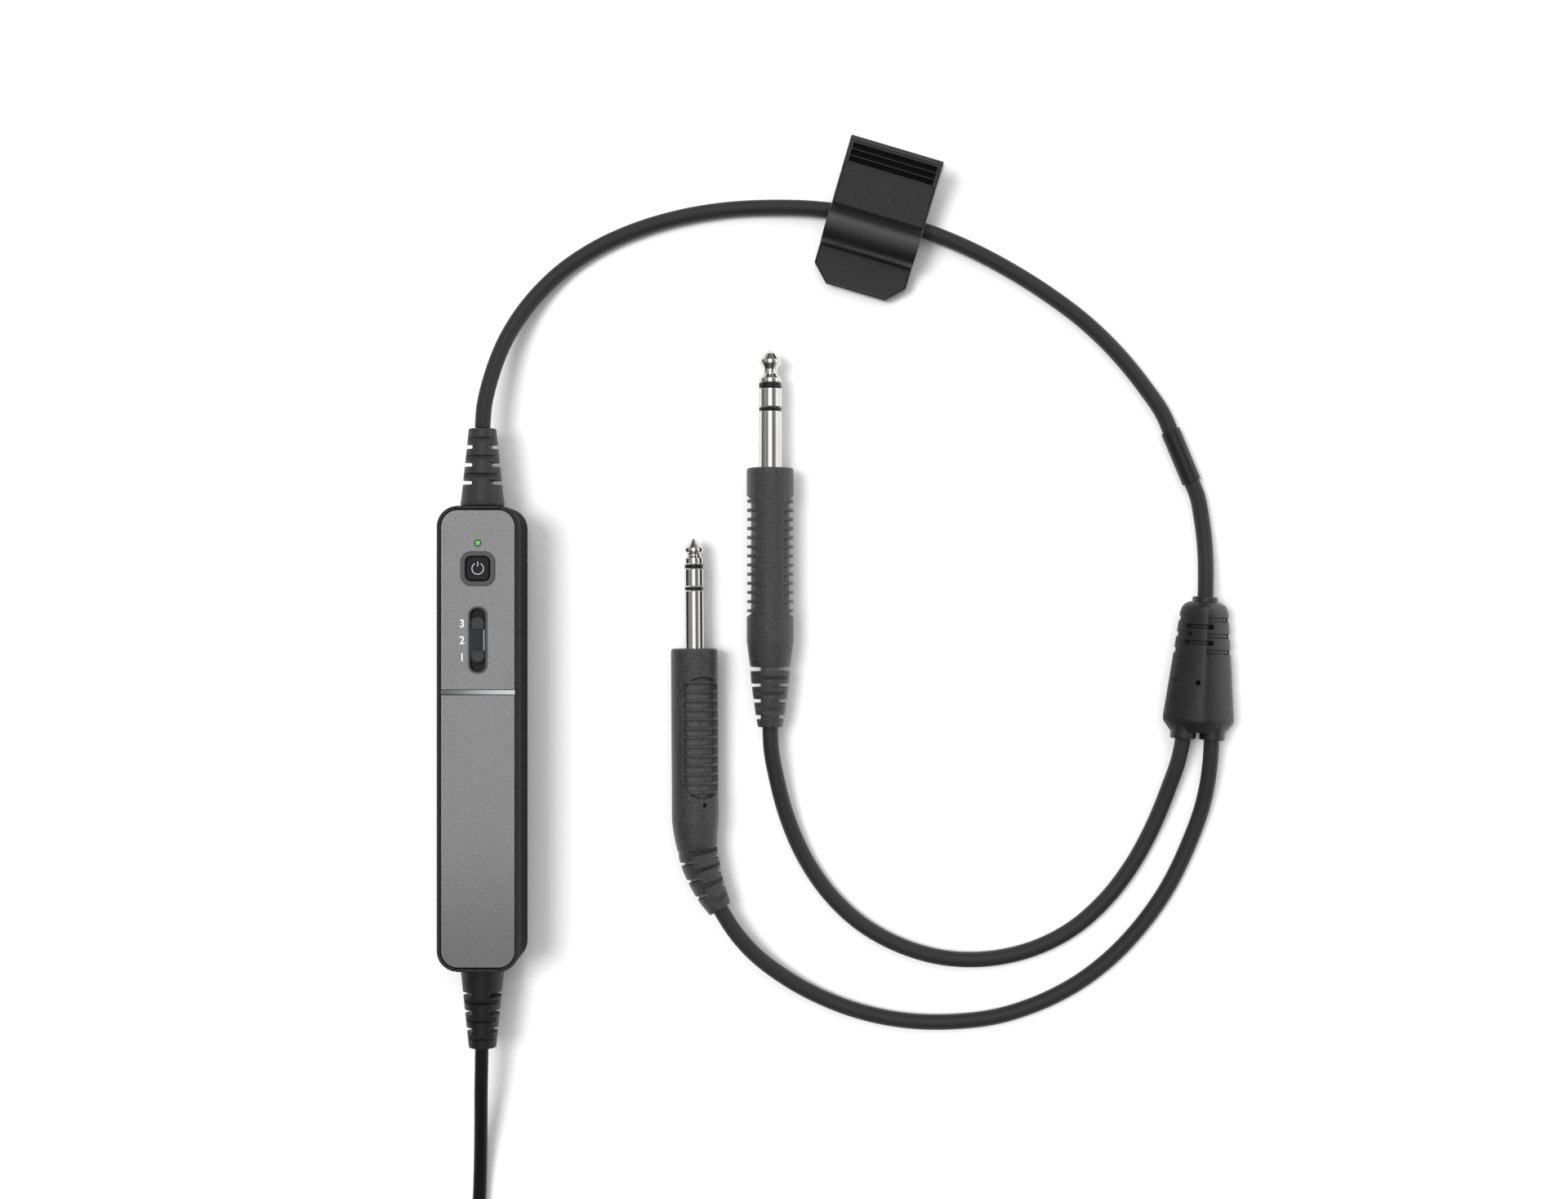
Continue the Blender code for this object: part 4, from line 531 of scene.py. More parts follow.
@dataclass(frozen=True)
class Finish:
    """A surface finish, made as one Principled material with its grain in colour and height."""

    name: str
    slot: str
    color: tuple[float, float, float]
    roughness: float
    metallic: float = 0.0
    grain: Grain = Grain.SPARK
    size: float = 0.3  # millimetres across one grain
    depth: float = 0.01  # millimetres from the grain's pits to its tops
    contrast: float = 0.2  # share by which pits are darker and tops lighter
    uneven: float = 0.06  # share by which the colour drifts over some centimetres
    specular: float = 0.5
    coat: float = 0.0
    sheen: float = 0.0
    turn: float = 0.0  # degrees that a brushed or woven grain is turned about Z
    glow: float = 0.0

    def height(self, nodes: Nodes, vector: bpy.types.NodeSocket) -> bpy.types.NodeSocket:
        """The grain's height from 0 to 1."""
        if self.grain is Grain.LEATHER:
            bent = nodes.add("ShaderNodeVectorMath", {
                0: vector,
                1: nodes.add("ShaderNodeVectorMath", {
                    0: nodes.add("ShaderNodeTexNoise", {
                        "Vector": vector, "Scale": 1 / (self.size * 1.6 * MM), "Detail": 2.0,
                    }).outputs["Color"],
                    1: (self.size * 1.2 * MM,) * 3,
                }, operation="MULTIPLY").outputs[0],
            }, operation="ADD").outputs[0]
            cells = nodes.add("ShaderNodeTexVoronoi", {
                "Vector": bent, "Scale": 1 / (self.size * MM),
            }, feature="DISTANCE_TO_EDGE").outputs["Distance"]
            return nodes.remap(cells, (0.0, 0.28), (0.0, 1.0))
        if self.grain is Grain.BRUSHED:
            drawn = nodes.add("ShaderNodeMapping", {"Vector": vector, "Scale": (1.0, 0.02, 1.0)})
            return nodes.noise(drawn.outputs[0], self.size, 3.0, 0.6)
        if self.grain is Grain.WOVEN:
            waves = [
                nodes.add("ShaderNodeTexWave", {
                    "Vector": vector, "Scale": 0.5 / (self.size * MM), "Distortion": 0.6,
                    "Detail Scale": 2.0,
                }, wave_type="BANDS", bands_direction=axis).outputs["Fac"]
                for axis in ("X", "Y")
            ]
            return nodes.math("MAXIMUM", *waves)
        if self.grain is Grain.POLISHED:
            return nodes.noise(vector, self.size * 8, 4.0, 0.6)
        return nodes.remap(nodes.noise(vector, self.size, 3.0, 0.65), NOISE_RANGE, (0.0, 1.0))

    def tint(self, nodes: Nodes, vector: bpy.types.NodeSocket,
             shade: bpy.types.NodeSocket) -> bpy.types.NodeSocket:
        """The share of the colour at a point, from the grain's own share."""
        return shade

    def material(self) -> bpy.types.Material:
        """The Blender material, made once."""
        found = bpy.data.materials.get(self.name)
        if found:
            return found
        made = bpy.data.materials.new(self.name)
        made.use_nodes = True
        nodes = Nodes(made.node_tree)
        place = nodes.add("ShaderNodeTexCoord").outputs["Object"]
        if self.turn:
            place = nodes.add("ShaderNodeMapping", {
                "Vector": place, "Rotation": (0, 0, math.radians(-self.turn)),
            }).outputs[0]
        height = self.height(nodes, place)
        drift = nodes.noise(place, DRIFT_SIZE, 3.0)
        fine = nodes.remap(height, (0.0, 1.0), (1 - self.contrast, 1 + self.contrast))
        broad = nodes.remap(drift, NOISE_RANGE, (1 - self.uneven, 1 + self.uneven))
        shade = self.tint(nodes, place, nodes.math("MULTIPLY", fine, broad))
        color = nodes.add("ShaderNodeVectorMath", {0: self.color, "Scale": shade}, operation="SCALE")
        gloss = (max(0.03, self.roughness - 0.05), self.roughness + 0.05)
        bump = nodes.add("ShaderNodeBump", {
            "Height": height, "Distance": self.depth * MM, "Strength": 1.0,
        })
        shader = made.node_tree.nodes["Principled BSDF"]
        nodes.feed(shader, {
            "Base Color": color.outputs[0], "Roughness": nodes.remap(drift, NOISE_RANGE, gloss),
            "Normal": bump.outputs[0], "Metallic": self.metallic, "Specular IOR Level": self.specular,
            "Coat Weight": self.coat, "Sheen Weight": self.sheen,
        })
        if self.glow:
            nodes.feed(shader, {"Emission Color": (*self.color, 1.0), "Emission Strength": self.glow})
        return made

    def wear(self, obj: bpy.types.Object) -> None:
        """Gives an object this finish."""
        obj.data.materials.clear()
        obj.data.materials.append(self.material())


@dataclass(frozen=True)
class PaintedLightFinish(Finish):
    """A finish with painted light and shade: lighter at one end of the piece than at the other."""

    axis: int = 1
    span: tuple[float, float] = (-60.0, 60.0)  # millimetres along the axis
    # shares of the colour at the span's two ends: painted light and shade
    shares: tuple[float, float] = (0.9, 1.1)

    def tint(self, nodes: Nodes, vector: bpy.types.NodeSocket,
             shade: bpy.types.NodeSocket) -> bpy.types.NodeSocket:
        """The grain's share times the painted light's share at this point along the axis."""
        along = nodes.add("ShaderNodeSeparateXYZ", {0: vector}).outputs[self.axis]
        span = (self.span[0] * MM, self.span[1] * MM)
        painted_light = nodes.remap(along, span, self.shares, interpolation_type="SMOOTHSTEP")
        return nodes.math("MULTIPLY", shade, painted_light)


CASE = Finish("case_moulding", "case_plastic", (0.027, 0.0273, 0.028), 0.7, size=0.35, depth=0.008,
              contrast=0.25, specular=0.08)
SHELL = Finish("shell_moulding", "case_plastic", (0.020, 0.0202, 0.021), 0.8, size=0.35, depth=0.01,
               contrast=0.25, specular=0.03)
# Painted shade: the face plates' grey paint darkens towards the module's lower end.
FACE = PaintedLightFinish("face_plate_paint", "face_metal", (0.240, 0.240, 0.243), 0.38, 0.7, size=0.36,
                   depth=0.012, contrast=0.3, uneven=0.03, span=(-62.0, -20.0), shares=(0.70, 1.02))
# Painted reflection: the bright strip is dark at its left end and bright at its right end.
STRIP = PaintedLightFinish("bright_strip_metal", "bright_strip", (0.75, 0.76, 0.77), 0.22, 1.0,
                    grain=Grain.BRUSHED, size=0.2, depth=0.002, axis=0, span=(-9.7, 9.7),
                    shares=(0.2, 0.9))
BUTTON = Finish("button_moulding", "button_plastic", (0.007, 0.007, 0.008), 0.38, size=0.3, depth=0.003,
                contrast=0.1, specular=0.24)
SURROUND = Finish("surround_moulding", "surround_plastic", (0.060, 0.060, 0.062), 0.5, size=0.2,
                  depth=0.003, contrast=0.1)
LEGEND = Finish("legend_ink", "surround_plastic", (0.80, 0.80, 0.80), 0.6, size=0.1, depth=0.001,
                contrast=0.03)
# The symbol's light grey ink, also used for the painted highlight on the slider window's edge.
SYMBOL_INK_AND_HIGHLIGHT = Finish("symbol_ink", "surround_plastic", (0.50, 0.51, 0.53), 0.5, size=0.1, depth=0.001,
                contrast=0.03)
WINDOW = Finish("slider_window", "button_plastic", (0.011, 0.014, 0.017), 0.12, grain=Grain.POLISHED,
                size=0.5, depth=0.001, specular=0.22)
SLIDER = Finish("slider_moulding", "button_plastic", (0.030, 0.031, 0.033), 0.45, size=0.26, depth=0.03,
                contrast=0.5, specular=0.4)
LENS = Finish("status_lens_lit", "status_lens", (0.11, 0.40, 0.09), 0.2, grain=Grain.POLISHED, size=0.3,
              depth=0.001, coat=0.4, glow=0.08)
BOARD = Finish("board_mask", "board", (0.02, 0.14, 0.06), 0.4, size=0.6, depth=0.004, contrast=0.1,
               coat=0.3)
CHIP = Finish("chip_epoxy", "chip", (0.02, 0.02, 0.021), 0.45, size=0.15, depth=0.004, contrast=0.12)
CELL = Finish("cell_jacket_foil", "cell_jacket", (0.30, 0.31, 0.33), 0.3, 0.35, grain=Grain.BRUSHED,
              size=0.5, depth=0.003)
NICKEL = Finish("contact_nickel_plate", "contact_nickel", (0.62, 0.60, 0.56), 0.25, 1.0,
                grain=Grain.BRUSHED, size=0.15, depth=0.002, contrast=0.08)
STEEL = Finish("zinc_steel", "steel", (0.46, 0.46, 0.48), 0.3, 1.0, grain=Grain.BRUSHED, size=0.2,
               depth=0.003, contrast=0.1)
# Painted light and shade: the boots are lighter on the upper boot and darker on the lower boot and the
# connector's boot.
BOOT = PaintedLightFinish("boot_moulding", "boot_rubber", (0.018, 0.018, 0.019), 0.46, size=0.3, depth=0.008,
                   contrast=0.22, specular=0.35, span=(-75.0, 75.0), shares=(0.4, 1.5))
JACKET = Finish("cord_jacket_rubber", "cord_jacket", (0.019, 0.019, 0.020), 0.5, size=0.4, depth=0.005,
                contrast=0.1, specular=0.32)
LEAD_JACKET = Finish("headset_jacket_rubber", "cord_jacket", (0.005, 0.005, 0.0055), 0.46, size=0.35,
                     depth=0.004, contrast=0.15, specular=0.15)
SLEEVE = Finish("sleeve_shrink", "sleeve_plastic", (0.010, 0.010, 0.011), 0.36, size=0.4, depth=0.006,
                contrast=0.15, specular=0.35)
TIE = Finish("tie_weave", "tie_fabric", (0.022, 0.022, 0.024), 0.9, grain=Grain.WOVEN, size=0.45,
             depth=0.12, contrast=0.4, sheen=0.4, turn=100.0)
CLIP = Finish("clip_moulding", "clip_plastic", (0.008, 0.008, 0.0085), 0.29, size=0.35, depth=0.012,
              contrast=0.2, specular=0.52)
# Painted shade: near-black faces in the finger grooves.
CLIP_GROOVE_SHADE = Finish("clip_groove_shade", "clip_plastic", (0.003, 0.003, 0.003), 0.7, size=0.35, depth=0.01,
                     contrast=0.2, specular=0.1)
CLIP_FIELD = Finish("clip_field_grain", "clip_plastic", (0.030, 0.030, 0.031), 0.5, grain=Grain.LEATHER,
                    size=0.4, depth=0.06, contrast=0.45, specular=0.35)
HANDLE = Finish("handle_moulding", "handle_rubber", (0.032, 0.032, 0.033), 0.38, size=0.42, depth=0.06,
                contrast=0.8, specular=0.55)
GRIP = Finish("grip_floor", "handle_rubber", (0.062, 0.062, 0.063), 0.5, size=0.42, depth=0.06,
              contrast=0.7, specular=0.45)
SPLITTER = Finish("splitter_moulding", "handle_rubber", (0.006, 0.006, 0.0065), 0.27, size=0.42, depth=0.05,
                  contrast=0.8, specular=0.65)
INSULATOR = Finish("insulator_moulding", "insulator_plastic", (0.008, 0.008, 0.008), 0.35, size=0.3,
                   depth=0.002, contrast=0.1, specular=0.3)
PLUG_METAL = Finish("plug_nickel_polish", "plug_nickel", (0.70, 0.695, 0.68), 0.08, 1.0,
                    grain=Grain.POLISHED, size=0.5, depth=0.001, contrast=0.04, uneven=0.02)


def dress(obj: bpy.types.Object, finish: Finish | None, body: str = "lead",
          nodes: Sequence[str] = (), sharp: float = 35.0) -> bpy.types.Object:
    """Finishes a piece: its shading, its finish, its body and the CAD nodes that it stands for.

    Args:
        obj: the piece, with a plain mesh in its place.
        finish: its finish, or None where its faces already have their materials.
        body: the CAD body that it rides on.
        nodes: the CAD nodes that it replaces.
        sharp: the angle from which an edge stays hard, in degrees.

    Returns:
        The piece.
    """
    if obj.type == "MESH":
        obj.data.shade_smooth()
        obj.data.set_sharp_from_angle(angle=math.radians(sharp))
        even = obj.modifiers.new("even_shading", "WEIGHTED_NORMAL")
        even.keep_sharp = True
        settle(obj)
    if finish:
        finish.wear(obj)
    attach(obj, body)
    if nodes:
        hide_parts(*nodes)
    LOG.info("%s rides on %s", obj.name, body)
    return obj


def shared(obj: bpy.types.Object, finishes: Sequence[Finish],
           choose: Callable[[Vector, Vector], int]) -> bpy.types.Object:
    """Gives the faces of a piece one of several finishes each.

    Args:
        obj: the piece, with a plain mesh.
        finishes: the finishes, all of one slot.
        choose: the finish's place in the row, from a face's centre in millimetres and its normal.

    Returns:
        The piece.
    """
    for finish in finishes:
        obj.data.materials.append(finish.material())
    for face in obj.data.polygons:
        face.material_index = choose(face.center / MM, face.normal)
    return obj


# Camera, light and floor


@dataclass
class Studio:
    """The camera over the table, the soft lights and the pale floor."""

    camera_place: tuple[float, float, float] = (80.2, 36.5, 600.0)
    lens: float = 50.83
    floor_size: float = 6000.0
    floor_color: tuple[float, float, float] = (0.93, 0.93, 0.93)
    key_side: tuple[float, float, float] = (-0.42, 0.08, 0.90)
    key_strength: float = 2.15
    key_spread: float = 24.0
    sky_strength: float = 2.5
    # Brightness of the sky: by the degrees from overhead towards +X, and by how far a direction leans to +Y
    panels: tuple[tuple[float, float], ...] = (
        (-90, 0.12), (-72, 0.12), (-58, 0.22), (-44, 0.28), (-37, 0.27), (-34, 0.15), (-29, 0.15),
        (-24, 0.25), (-19, 0.27), (-15.5, 1.0), (15.5, 1.0), (20, 0.25), (27, 0.22), (31, 0.045),
        (36, 0.045), (40, 0.25), (50, 0.27), (60, 0.50), (68, 1.0), (82, 1.0), (90, 0.7),
    )
    panel_length: tuple[tuple[float, float], ...] = (
        (-1.0, 0.06), (-0.6, 0.16), (-0.2, 0.48), (0.15, 0.58), (0.4, 1.0), (0.65, 1.0), (0.85, 0.3),
        (1.0, 0.12),
    )

    def build_camera(self) -> None:
        """A camera that looks straight down, as in the photograph."""
        data = bpy.data.cameras.new("camera")
        data.lens = self.lens
        data.sensor_width = 36.0
        data.clip_start, data.clip_end = 0.01, 20.0
        camera = new_object("camera", data)
        camera.location = Vector(self.camera_place) * MM
        bpy.context.scene.camera = camera

    def build_floor(self) -> None:
        """The pale floor under everything."""
        half = self.floor_size / 2
        floor = prism("floor", [(-half, -half), (half, -half), (half, half), (-half, half)], -20.0, -0.02)
        made = bpy.data.materials.new("floor_paper")
        made.use_nodes = True
        Nodes(made.node_tree).feed(made.node_tree.nodes["Principled BSDF"], {
            "Base Color": (*self.floor_color, 1.0), "Roughness": 0.9,
        })
        floor.data.materials.append(made)

    def build_lights(self) -> None:
        """A soft key light from the left and a sky of long panels with dark gaps between them."""
        data = bpy.data.lights.new("key_light", "SUN")
        data.energy = self.key_strength
        data.angle = math.radians(self.key_spread)
        light = new_object("key_light", data)
        light.rotation_euler = Vector(self.key_side).to_track_quat("Z", "Y").to_euler()
        light.visible_glossy = False
        world = bpy.data.worlds.new("sky")
        world.use_nodes = True
        nodes = Nodes(world.node_tree)
        x, y, z = nodes.add("ShaderNodeSeparateXYZ", {
            0: nodes.add("ShaderNodeTexCoord").outputs["Generated"],
        }).outputs
        lean = nodes.math("MULTIPLY", nodes.math("ARCTAN2", x, z), 180 / math.pi)
        along = nodes.ramp(y, -1, 1, self.panel_length)
        nodes.feed(world.node_tree.nodes["Background"], {
            "Color": nodes.ramp(lean, -90, 90, self.panels),
            "Strength": nodes.math("MULTIPLY", along, self.sky_strength),
        })
        bpy.context.scene.world = world
        bpy.context.scene.view_settings.view_transform = "Standard"


# Cords


@dataclass
class Coil:
    """The headset cord's coil: turns that lie beside and on each other, wound from outside in and up."""

    centre: tuple[float, float] = (20.0, -158.0)
    low: float = 0.6
    diameter: float = 3.6
    entry: float = 180.0  # degrees round the coil where the cord comes in
    # Each row: the radius, the layer, and the degrees at which the cord starts to leave for the next row.
    rows: tuple[tuple[float, int, float], ...] = (
        (23.8, 0, 510.0), (20.2, 0, 870.0), (16.6, 0, 1190.0), (18.4, 1, 1515.0), (22.0, 1, 1835.0),
        (20.2, 2, 2070.0),
    )
    crossing: float = 34.0  # degrees that it takes to go from one row to the next
    step: float = 15.0

    def points(self) -> list[Vector]:
        """Points along all its turns, from where the cord comes in to where it leaves."""
        rise = self.diameter * math.sin(math.radians(60))
        made = []
        angle = self.entry
        last = self.rows[-1][2]
        while angle <= last + 0.01:
            radius, layer = self.rows[0][0], float(self.rows[0][1])
            for (_, _, start), (next_radius, next_layer, _) in zip(self.rows, self.rows[1:]):
                share = smoothstep(start, start + self.crossing, angle)
                radius += (next_radius - radius) * share
                layer += (next_layer - layer) * share
            turn = math.radians(angle)
            made.append(Vector((
                self.centre[0] + radius * math.cos(turn),
                self.centre[1] + radius * math.sin(turn),
                self.low + self.diameter / 2 + layer * rise,
            )))
            angle += self.step
        return made


@dataclass
class Cord:
    """One cord along its own route, as a round curve."""

    name: str
    route: Sequence[Sequence[float]]
    diameter: float
    finish: Finish
    nodes: Sequence[str]
    far_end: str
    lay: str = "loose"
    spacing: float = 2.0
    line: list[Vector] = field(default_factory=list)

    def length(self) -> float:
        """Its length along the middle, in millimetres."""
        return sum((b - a).length for a, b in zip(self.line, self.line[1:]))

    def build(self) -> bpy.types.Object:
        """Makes the curve."""
        self.line = smooth_route(self.route, self.spacing)
        curve = bpy.data.curves.new(self.name, "CURVE")
        curve.dimensions = "3D"
        curve.bevel_depth = self.diameter / 2 * MM
        curve.bevel_resolution = 6
        curve.use_fill_caps = True
        spline = curve.splines.new("POLY")
        spline.points.add(len(self.line) - 1)
        for point, place in zip(spline.points, self.line):
            point.co = (*(place * MM), 1)
        spline.use_smooth = True
        return dress(new_object(self.name, curve), self.finish, nodes=self.nodes)

    def declare(self, obj: bpy.types.Object, pieces: Sequence[bpy.types.Object]) -> None:
        """Logs how long the cord is."""
        self.length() * MM
        LOG.info("%s is %.0f mm long", self.name, self.length())


# The cords' routes along their middles, at the same points as the CAD's
MAIN_ROUTE = [
    (0.0, 82.2, 11.0), (0.4, 88.0, 10.7), (1.8, 94.7, 9.7), (5.8, 106.3, 6.9),
    (11.8, 116.2, 4.2), (20.3, 125.1, 2.6), (29.8, 131.5, 2.15), (41.1, 136.5, 2.1),
    (52.2, 139.7, 2.1), (64.3, 141.7, 2.1), (76.7, 142.3, 2.4), (88.1, 141.9, 3.0),
    (104.6, 139.5, 3.0), (119.0, 135.6, 3.0), (130.5, 131.0, 2.4), (141.4, 125.3, 2.1),
    (151.4, 119.0, 2.1), (161.0, 111.8, 2.1), (169.3, 103.9, 2.1), (177.1, 94.4, 2.4),
    (183.1, 85.2, 2.65), (184.2, 82.5, 2.65), (187.3, 75.1, 2.65), (190.4, 67.7, 2.65),
    (191.5, 65.0, 2.65), (192.8, 58.5, 2.8), (193.6, 50.3, 3.6), (193.5, 44.0, 5.2),
    (193.3, 37.7, 5.8), (193.2, 35.2, 5.8),
]
INNER_ROUTE = [
    (187.5, 0.5, 5.85), (187.2, -1.3, 5.8), (186.2, -6.5, 5.2), (183.9, -13.9, 3.7), (179.8, -24.6, 2.4),
    (173.9, -35.5, 2.1), (166.9, -44.6, 2.1), (157.6, -52.7, 2.1), (147.4, -57.8, 2.1),
    (135.4, -60.5, 2.1), (123.1, -60.2, 2.1), (112.0, -57.1, 2.1), (101.2, -51.2, 2.1),
    (92.8, -43.4, 2.1), (85.8, -33.2, 2.4), (81.2, -22.6, 3.5), (78.0, -10.6, 5.3),
    (76.8, -4.0, 6.1), (76.5, 2.0, 6.3),
]
OUTER_ROUTE = [
    (194.93, 0.3, 5.85), (194.9, -1.8, 5.8), (194.6, -8.5, 5.0), (193.1, -18.5, 3.4), (189.1, -30.2, 2.3),
    (183.7, -41.3, 2.1), (177.2, -50.7, 2.1), (168.8, -59.8, 2.1), (159.8, -66.8, 2.1),
    (148.8, -72.5, 2.1), (137.9, -76.0, 2.1), (125.6, -77.5, 2.1), (113.3, -77.2, 2.1),
    (102.0, -75.1, 2.1), (90.4, -70.9, 2.3), (80.3, -65.2, 3.3), (71.0, -57.5, 5.1),
    (66.6, -52.1, 6.0), (63.25, -46.7, 6.3),
]
HEADSET_ROUTE = [
    (-0.2, -82.8, 11.0), (-0.35, -88.5, 10.6), (-0.6, -94.5, 9.5), (-0.9, -102.0, 7.4),
    (-1.3, -110.0, 5.0), (-1.7, -118.0, 3.1), (-2.1, -126.0, 2.2), (-2.9, -134.0, 2.2),
    (-3.75, -143.9, 2.4),
]
TAIL_ROUTE = [
    (30.0, -178.2, 7.8), (38.6, -178.2, 6.0), (43.5, -178.2, 4.4), (49.0, -178.1, 3.2),
    (55.0, -178.0, 3.0), (62.0, -178.0, 3.6), (68.7, -178.0, 4.2),
]


# Control module


@dataclass
class ControlModule:
    """The in-line control module: case, face plates, controls, batteries and electronics."""

    width: float = 21.6
    length: float = 122.1
    height: float = 20.5
    radius: float = 5.5
    wall: float = 1.9
    seam: float = 16.15
    door_top: float = 3.15
    door_end: float = 47.1
    plate_width: float = 19.4
    plate_length: float = 119.9
    plate_radius: float = 4.4
    plate_low: float = 19.1
    plate_high: float = 20.2
    ledge: float = 18.8
    strip_y: float = 12.15
    strip_size: float = 1.2
    button_y: float = 44.6
    light_y: float = 51.25
    slot_y: float = 25.9
    slot_length: float = 16.7
    slot_travel: float = 2.1
    legend: tuple[tuple[str, float], ...] = (("3", 30.1), ("2", 25.75), ("1", 21.3))
    legend_x: float = -3.4
    legend_size: float = 2.9
    screw: tuple[float, float] = (6.4, 54.6)
    gap: float = 0.15  # half the gap where two parts of the case meet
    bay_floor: float = 1.75
    bay_rib: tuple[float, float] = (48.9, 50.1)
    hook_x: tuple[float, float] = (7.7, 8.5)
    hook_starts: tuple[float, float] = (-40.0, 25.0)
    hook_length: float = 6.0
    spring_seat: tuple[float, float, float] = (0.0, -56.2, 9.05)
    insert_half: float = 5.75
    insert_inner: float = 60.25
    insert_low: float = 4.0
    boot_z: float = 11.0
    through: tuple[float, float] = (10.0, 30.0)  # levels of a cutter that goes right through the front
    case_outline: RoundRect = field(init=False)

    def __post_init__(self) -> None:
        """Works out the case's outline."""
        self.case_outline = RoundRect(self.width, self.length, self.radius, steps=16)

    def notches(self, name: str, low: float) -> bpy.types.Object:
        """The two openings for the end inserts, from a height up."""
        half, start = self.insert_half + 0.26, self.insert_inner - 0.3
        return boxes(name, [
            ((-half, start, low), (half, self.length, self.height + 2)),
            ((-half, -self.length, low), (half, -start, self.height + 2)),
        ])

    def screw_rods(self, name: str, radius: float, low: float, high: float) -> list[bpy.types.Object]:
        """A rod at each screw, from one level to another."""
        x, y = self.screw
        return [rod(f"{name}_{side}", radius, (side * x, y, low), (side * x, y, high)) for side in (-1, 1)]

    def build_bezel(self) -> None:
        """The frame round the face plates."""
        low = self.seam + self.gap
        bezel = self.case_outline.slab("front_bezel_moulding", low, self.height, 0.2, 0.55, 5)
        pocket = RoundRect(self.plate_width + 0.45, self.plate_length + 0.45, self.plate_radius + 0.22)
        window = RoundRect(self.plate_width - 2.2, self.plate_length - 4.0, self.plate_radius - 1.0)
        boolean(bezel, [
            pocket.slab("pocket", self.ledge, self.height + 1),
            window.slab("window", low - 1, self.ledge + 1),
            self.notches("bezel_notches", low - 1),
        ])
        boolean(bezel, self.screw_rods("bezel_boss", 2.5, low + 0.02, self.ledge - 0.02), "UNION")
        boolean(bezel, self.screw_rods("bezel_hole", 1.2, low - 1, self.ledge - 0.3))
        dress(bezel, CASE, nodes=["front_bezel"])

    def build_shell(self) -> None:
        """The tub behind the bezel, with its battery bay open to the rear."""
        high = self.seam - self.gap
        shell = self.case_outline.slab("rear_shell_moulding", 0, high, 1.0, 0.2, 5)
        inside, end = self.width / 2 - self.wall, self.length / 2 - 1.6
        rib_start, rib_end = self.bay_rib
        boolean(shell, [boxes("bays", [
            ((-inside, -end, self.bay_floor), (inside, rib_start, high + 1)),
            ((-inside, rib_end, self.bay_floor), (inside, end, high + 1)),
        ])])
        boolean(shell, [
            boxes("bay_rib", [((-inside - 0.5, rib_start, 0.5), (inside + 0.5, rib_end, high - 0.01))]),
            *self.screw_rods("boss", 2.6, 0.5, high - 0.2),
        ], "UNION")
        door_corner = (FAR, self.door_end + self.gap, self.door_top + self.gap)
        boolean(shell, [
            boxes("door_zone", [((-FAR, -FAR, -1), door_corner)]),
            self.notches("shell_notches", self.insert_low),
            rod("neck_holes", 3.85, (0, -FAR, self.boot_z), (0, FAR, self.boot_z)),
            *self.screw_rods("shell_hole", 1.25, -1, 30),
            *self.screw_rods("counterbore", 2.1, -1, 2.3),
        ])
        dress(shell, SHELL, nodes=["rear_shell"])

    def build_door(self, rows: RepeatTree) -> None:
        """The battery door with its lips, hooks and thumb grooves."""
        door = self.case_outline.slab("battery_door_moulding", 0, self.door_top - self.gap, 1.0, 0.0, 5)
        lip_width = 1.5
        lip = self.width / 2 - lip_width
        boolean(door, [
            boxes("door_room", [((-lip, -self.length / 2 + lip_width, 1.5), (lip, FAR, 6))]),
            boxes("beyond_door", [((-FAR, self.door_end - self.gap, -1), (FAR, FAR, 6))]),
        ])
        groove = RoundRect(10.0, 0.8, 0.38, (0.0, 30.4), 5).slab("groove", -1.0, 0.5, 0.0, 0.2, 3)
        boolean(door, [rows.make("thumb_grooves", groove, 5, (0, 2.0, 0))])
        hooks = []
        for side in (-1, 1):
            inner, outer = sorted(side * x for x in self.hook_x)
            hooks += [((inner, y, 1.2), (outer, y + self.hook_length, 4.4)) for y in self.hook_starts]
        boolean(door, [boxes("door_hooks", hooks)], "UNION")
        dress(door, SHELL, "door", ["battery_door"])

    def build_inserts(self) -> None:
        """The plates that close the case's ends round the boots."""
        for name in ("upper_end_insert", "lower_end_insert"):
            dress(softened(f"{name}_moulding", name, 0.18), CASE, nodes=[name])

    def build_plates(self) -> None:
        """The two metal face plates and the bright strip between them."""
        outline = RoundRect(self.plate_width, self.plate_length, self.plate_radius, steps=16)
        start, end = self.strip_y - self.strip_size / 2, self.strip_y + self.strip_size / 2
        upper = outline.slab("upper_face_plate_metal", self.plate_low, self.plate_high, 0.1, 0.14)
        boolean(upper, [
            boxes("below_strip", [((-FAR, -FAR, 0), (FAR, end + self.gap, FAR))]),
            RoundRect(8.4, 8.4, 2.45, (0, self.button_y)).slab("button_hole", *self.through),
            RoundRect(4.4, self.slot_length + 0.3, 1.95, (0, self.slot_y)).slab("slider_hole", *self.through),
            rod("light_hole", 0.92, *((0, self.light_y, z) for z in self.through)),
        ])
        dress(bevelled(upper, 0.06), FACE, nodes=["upper_face_plate"], sharp=50)
        lower = outline.slab("lower_face_plate_metal", self.plate_low, self.plate_high, 0.1, 0.14)
        boolean(lower, [boxes("above_strip", [((-FAR, start - self.gap, 0), (FAR, FAR, FAR))])])
        dress(lower, FACE, nodes=["lower_face_plate"], sharp=50)
        half = self.plate_width / 2
        profile = filleted([
            (start, self.plate_low), (end, self.plate_low), (end, self.plate_high + 0.05),
            (start, self.plate_high - 0.1),
        ], 0.12, closed=True)
        strip = loft("accent_strip_metal", [[(x, y, z) for y, z in profile] for x in (-half, half)])
        dress(strip, STRIP, nodes=["accent_strip"])

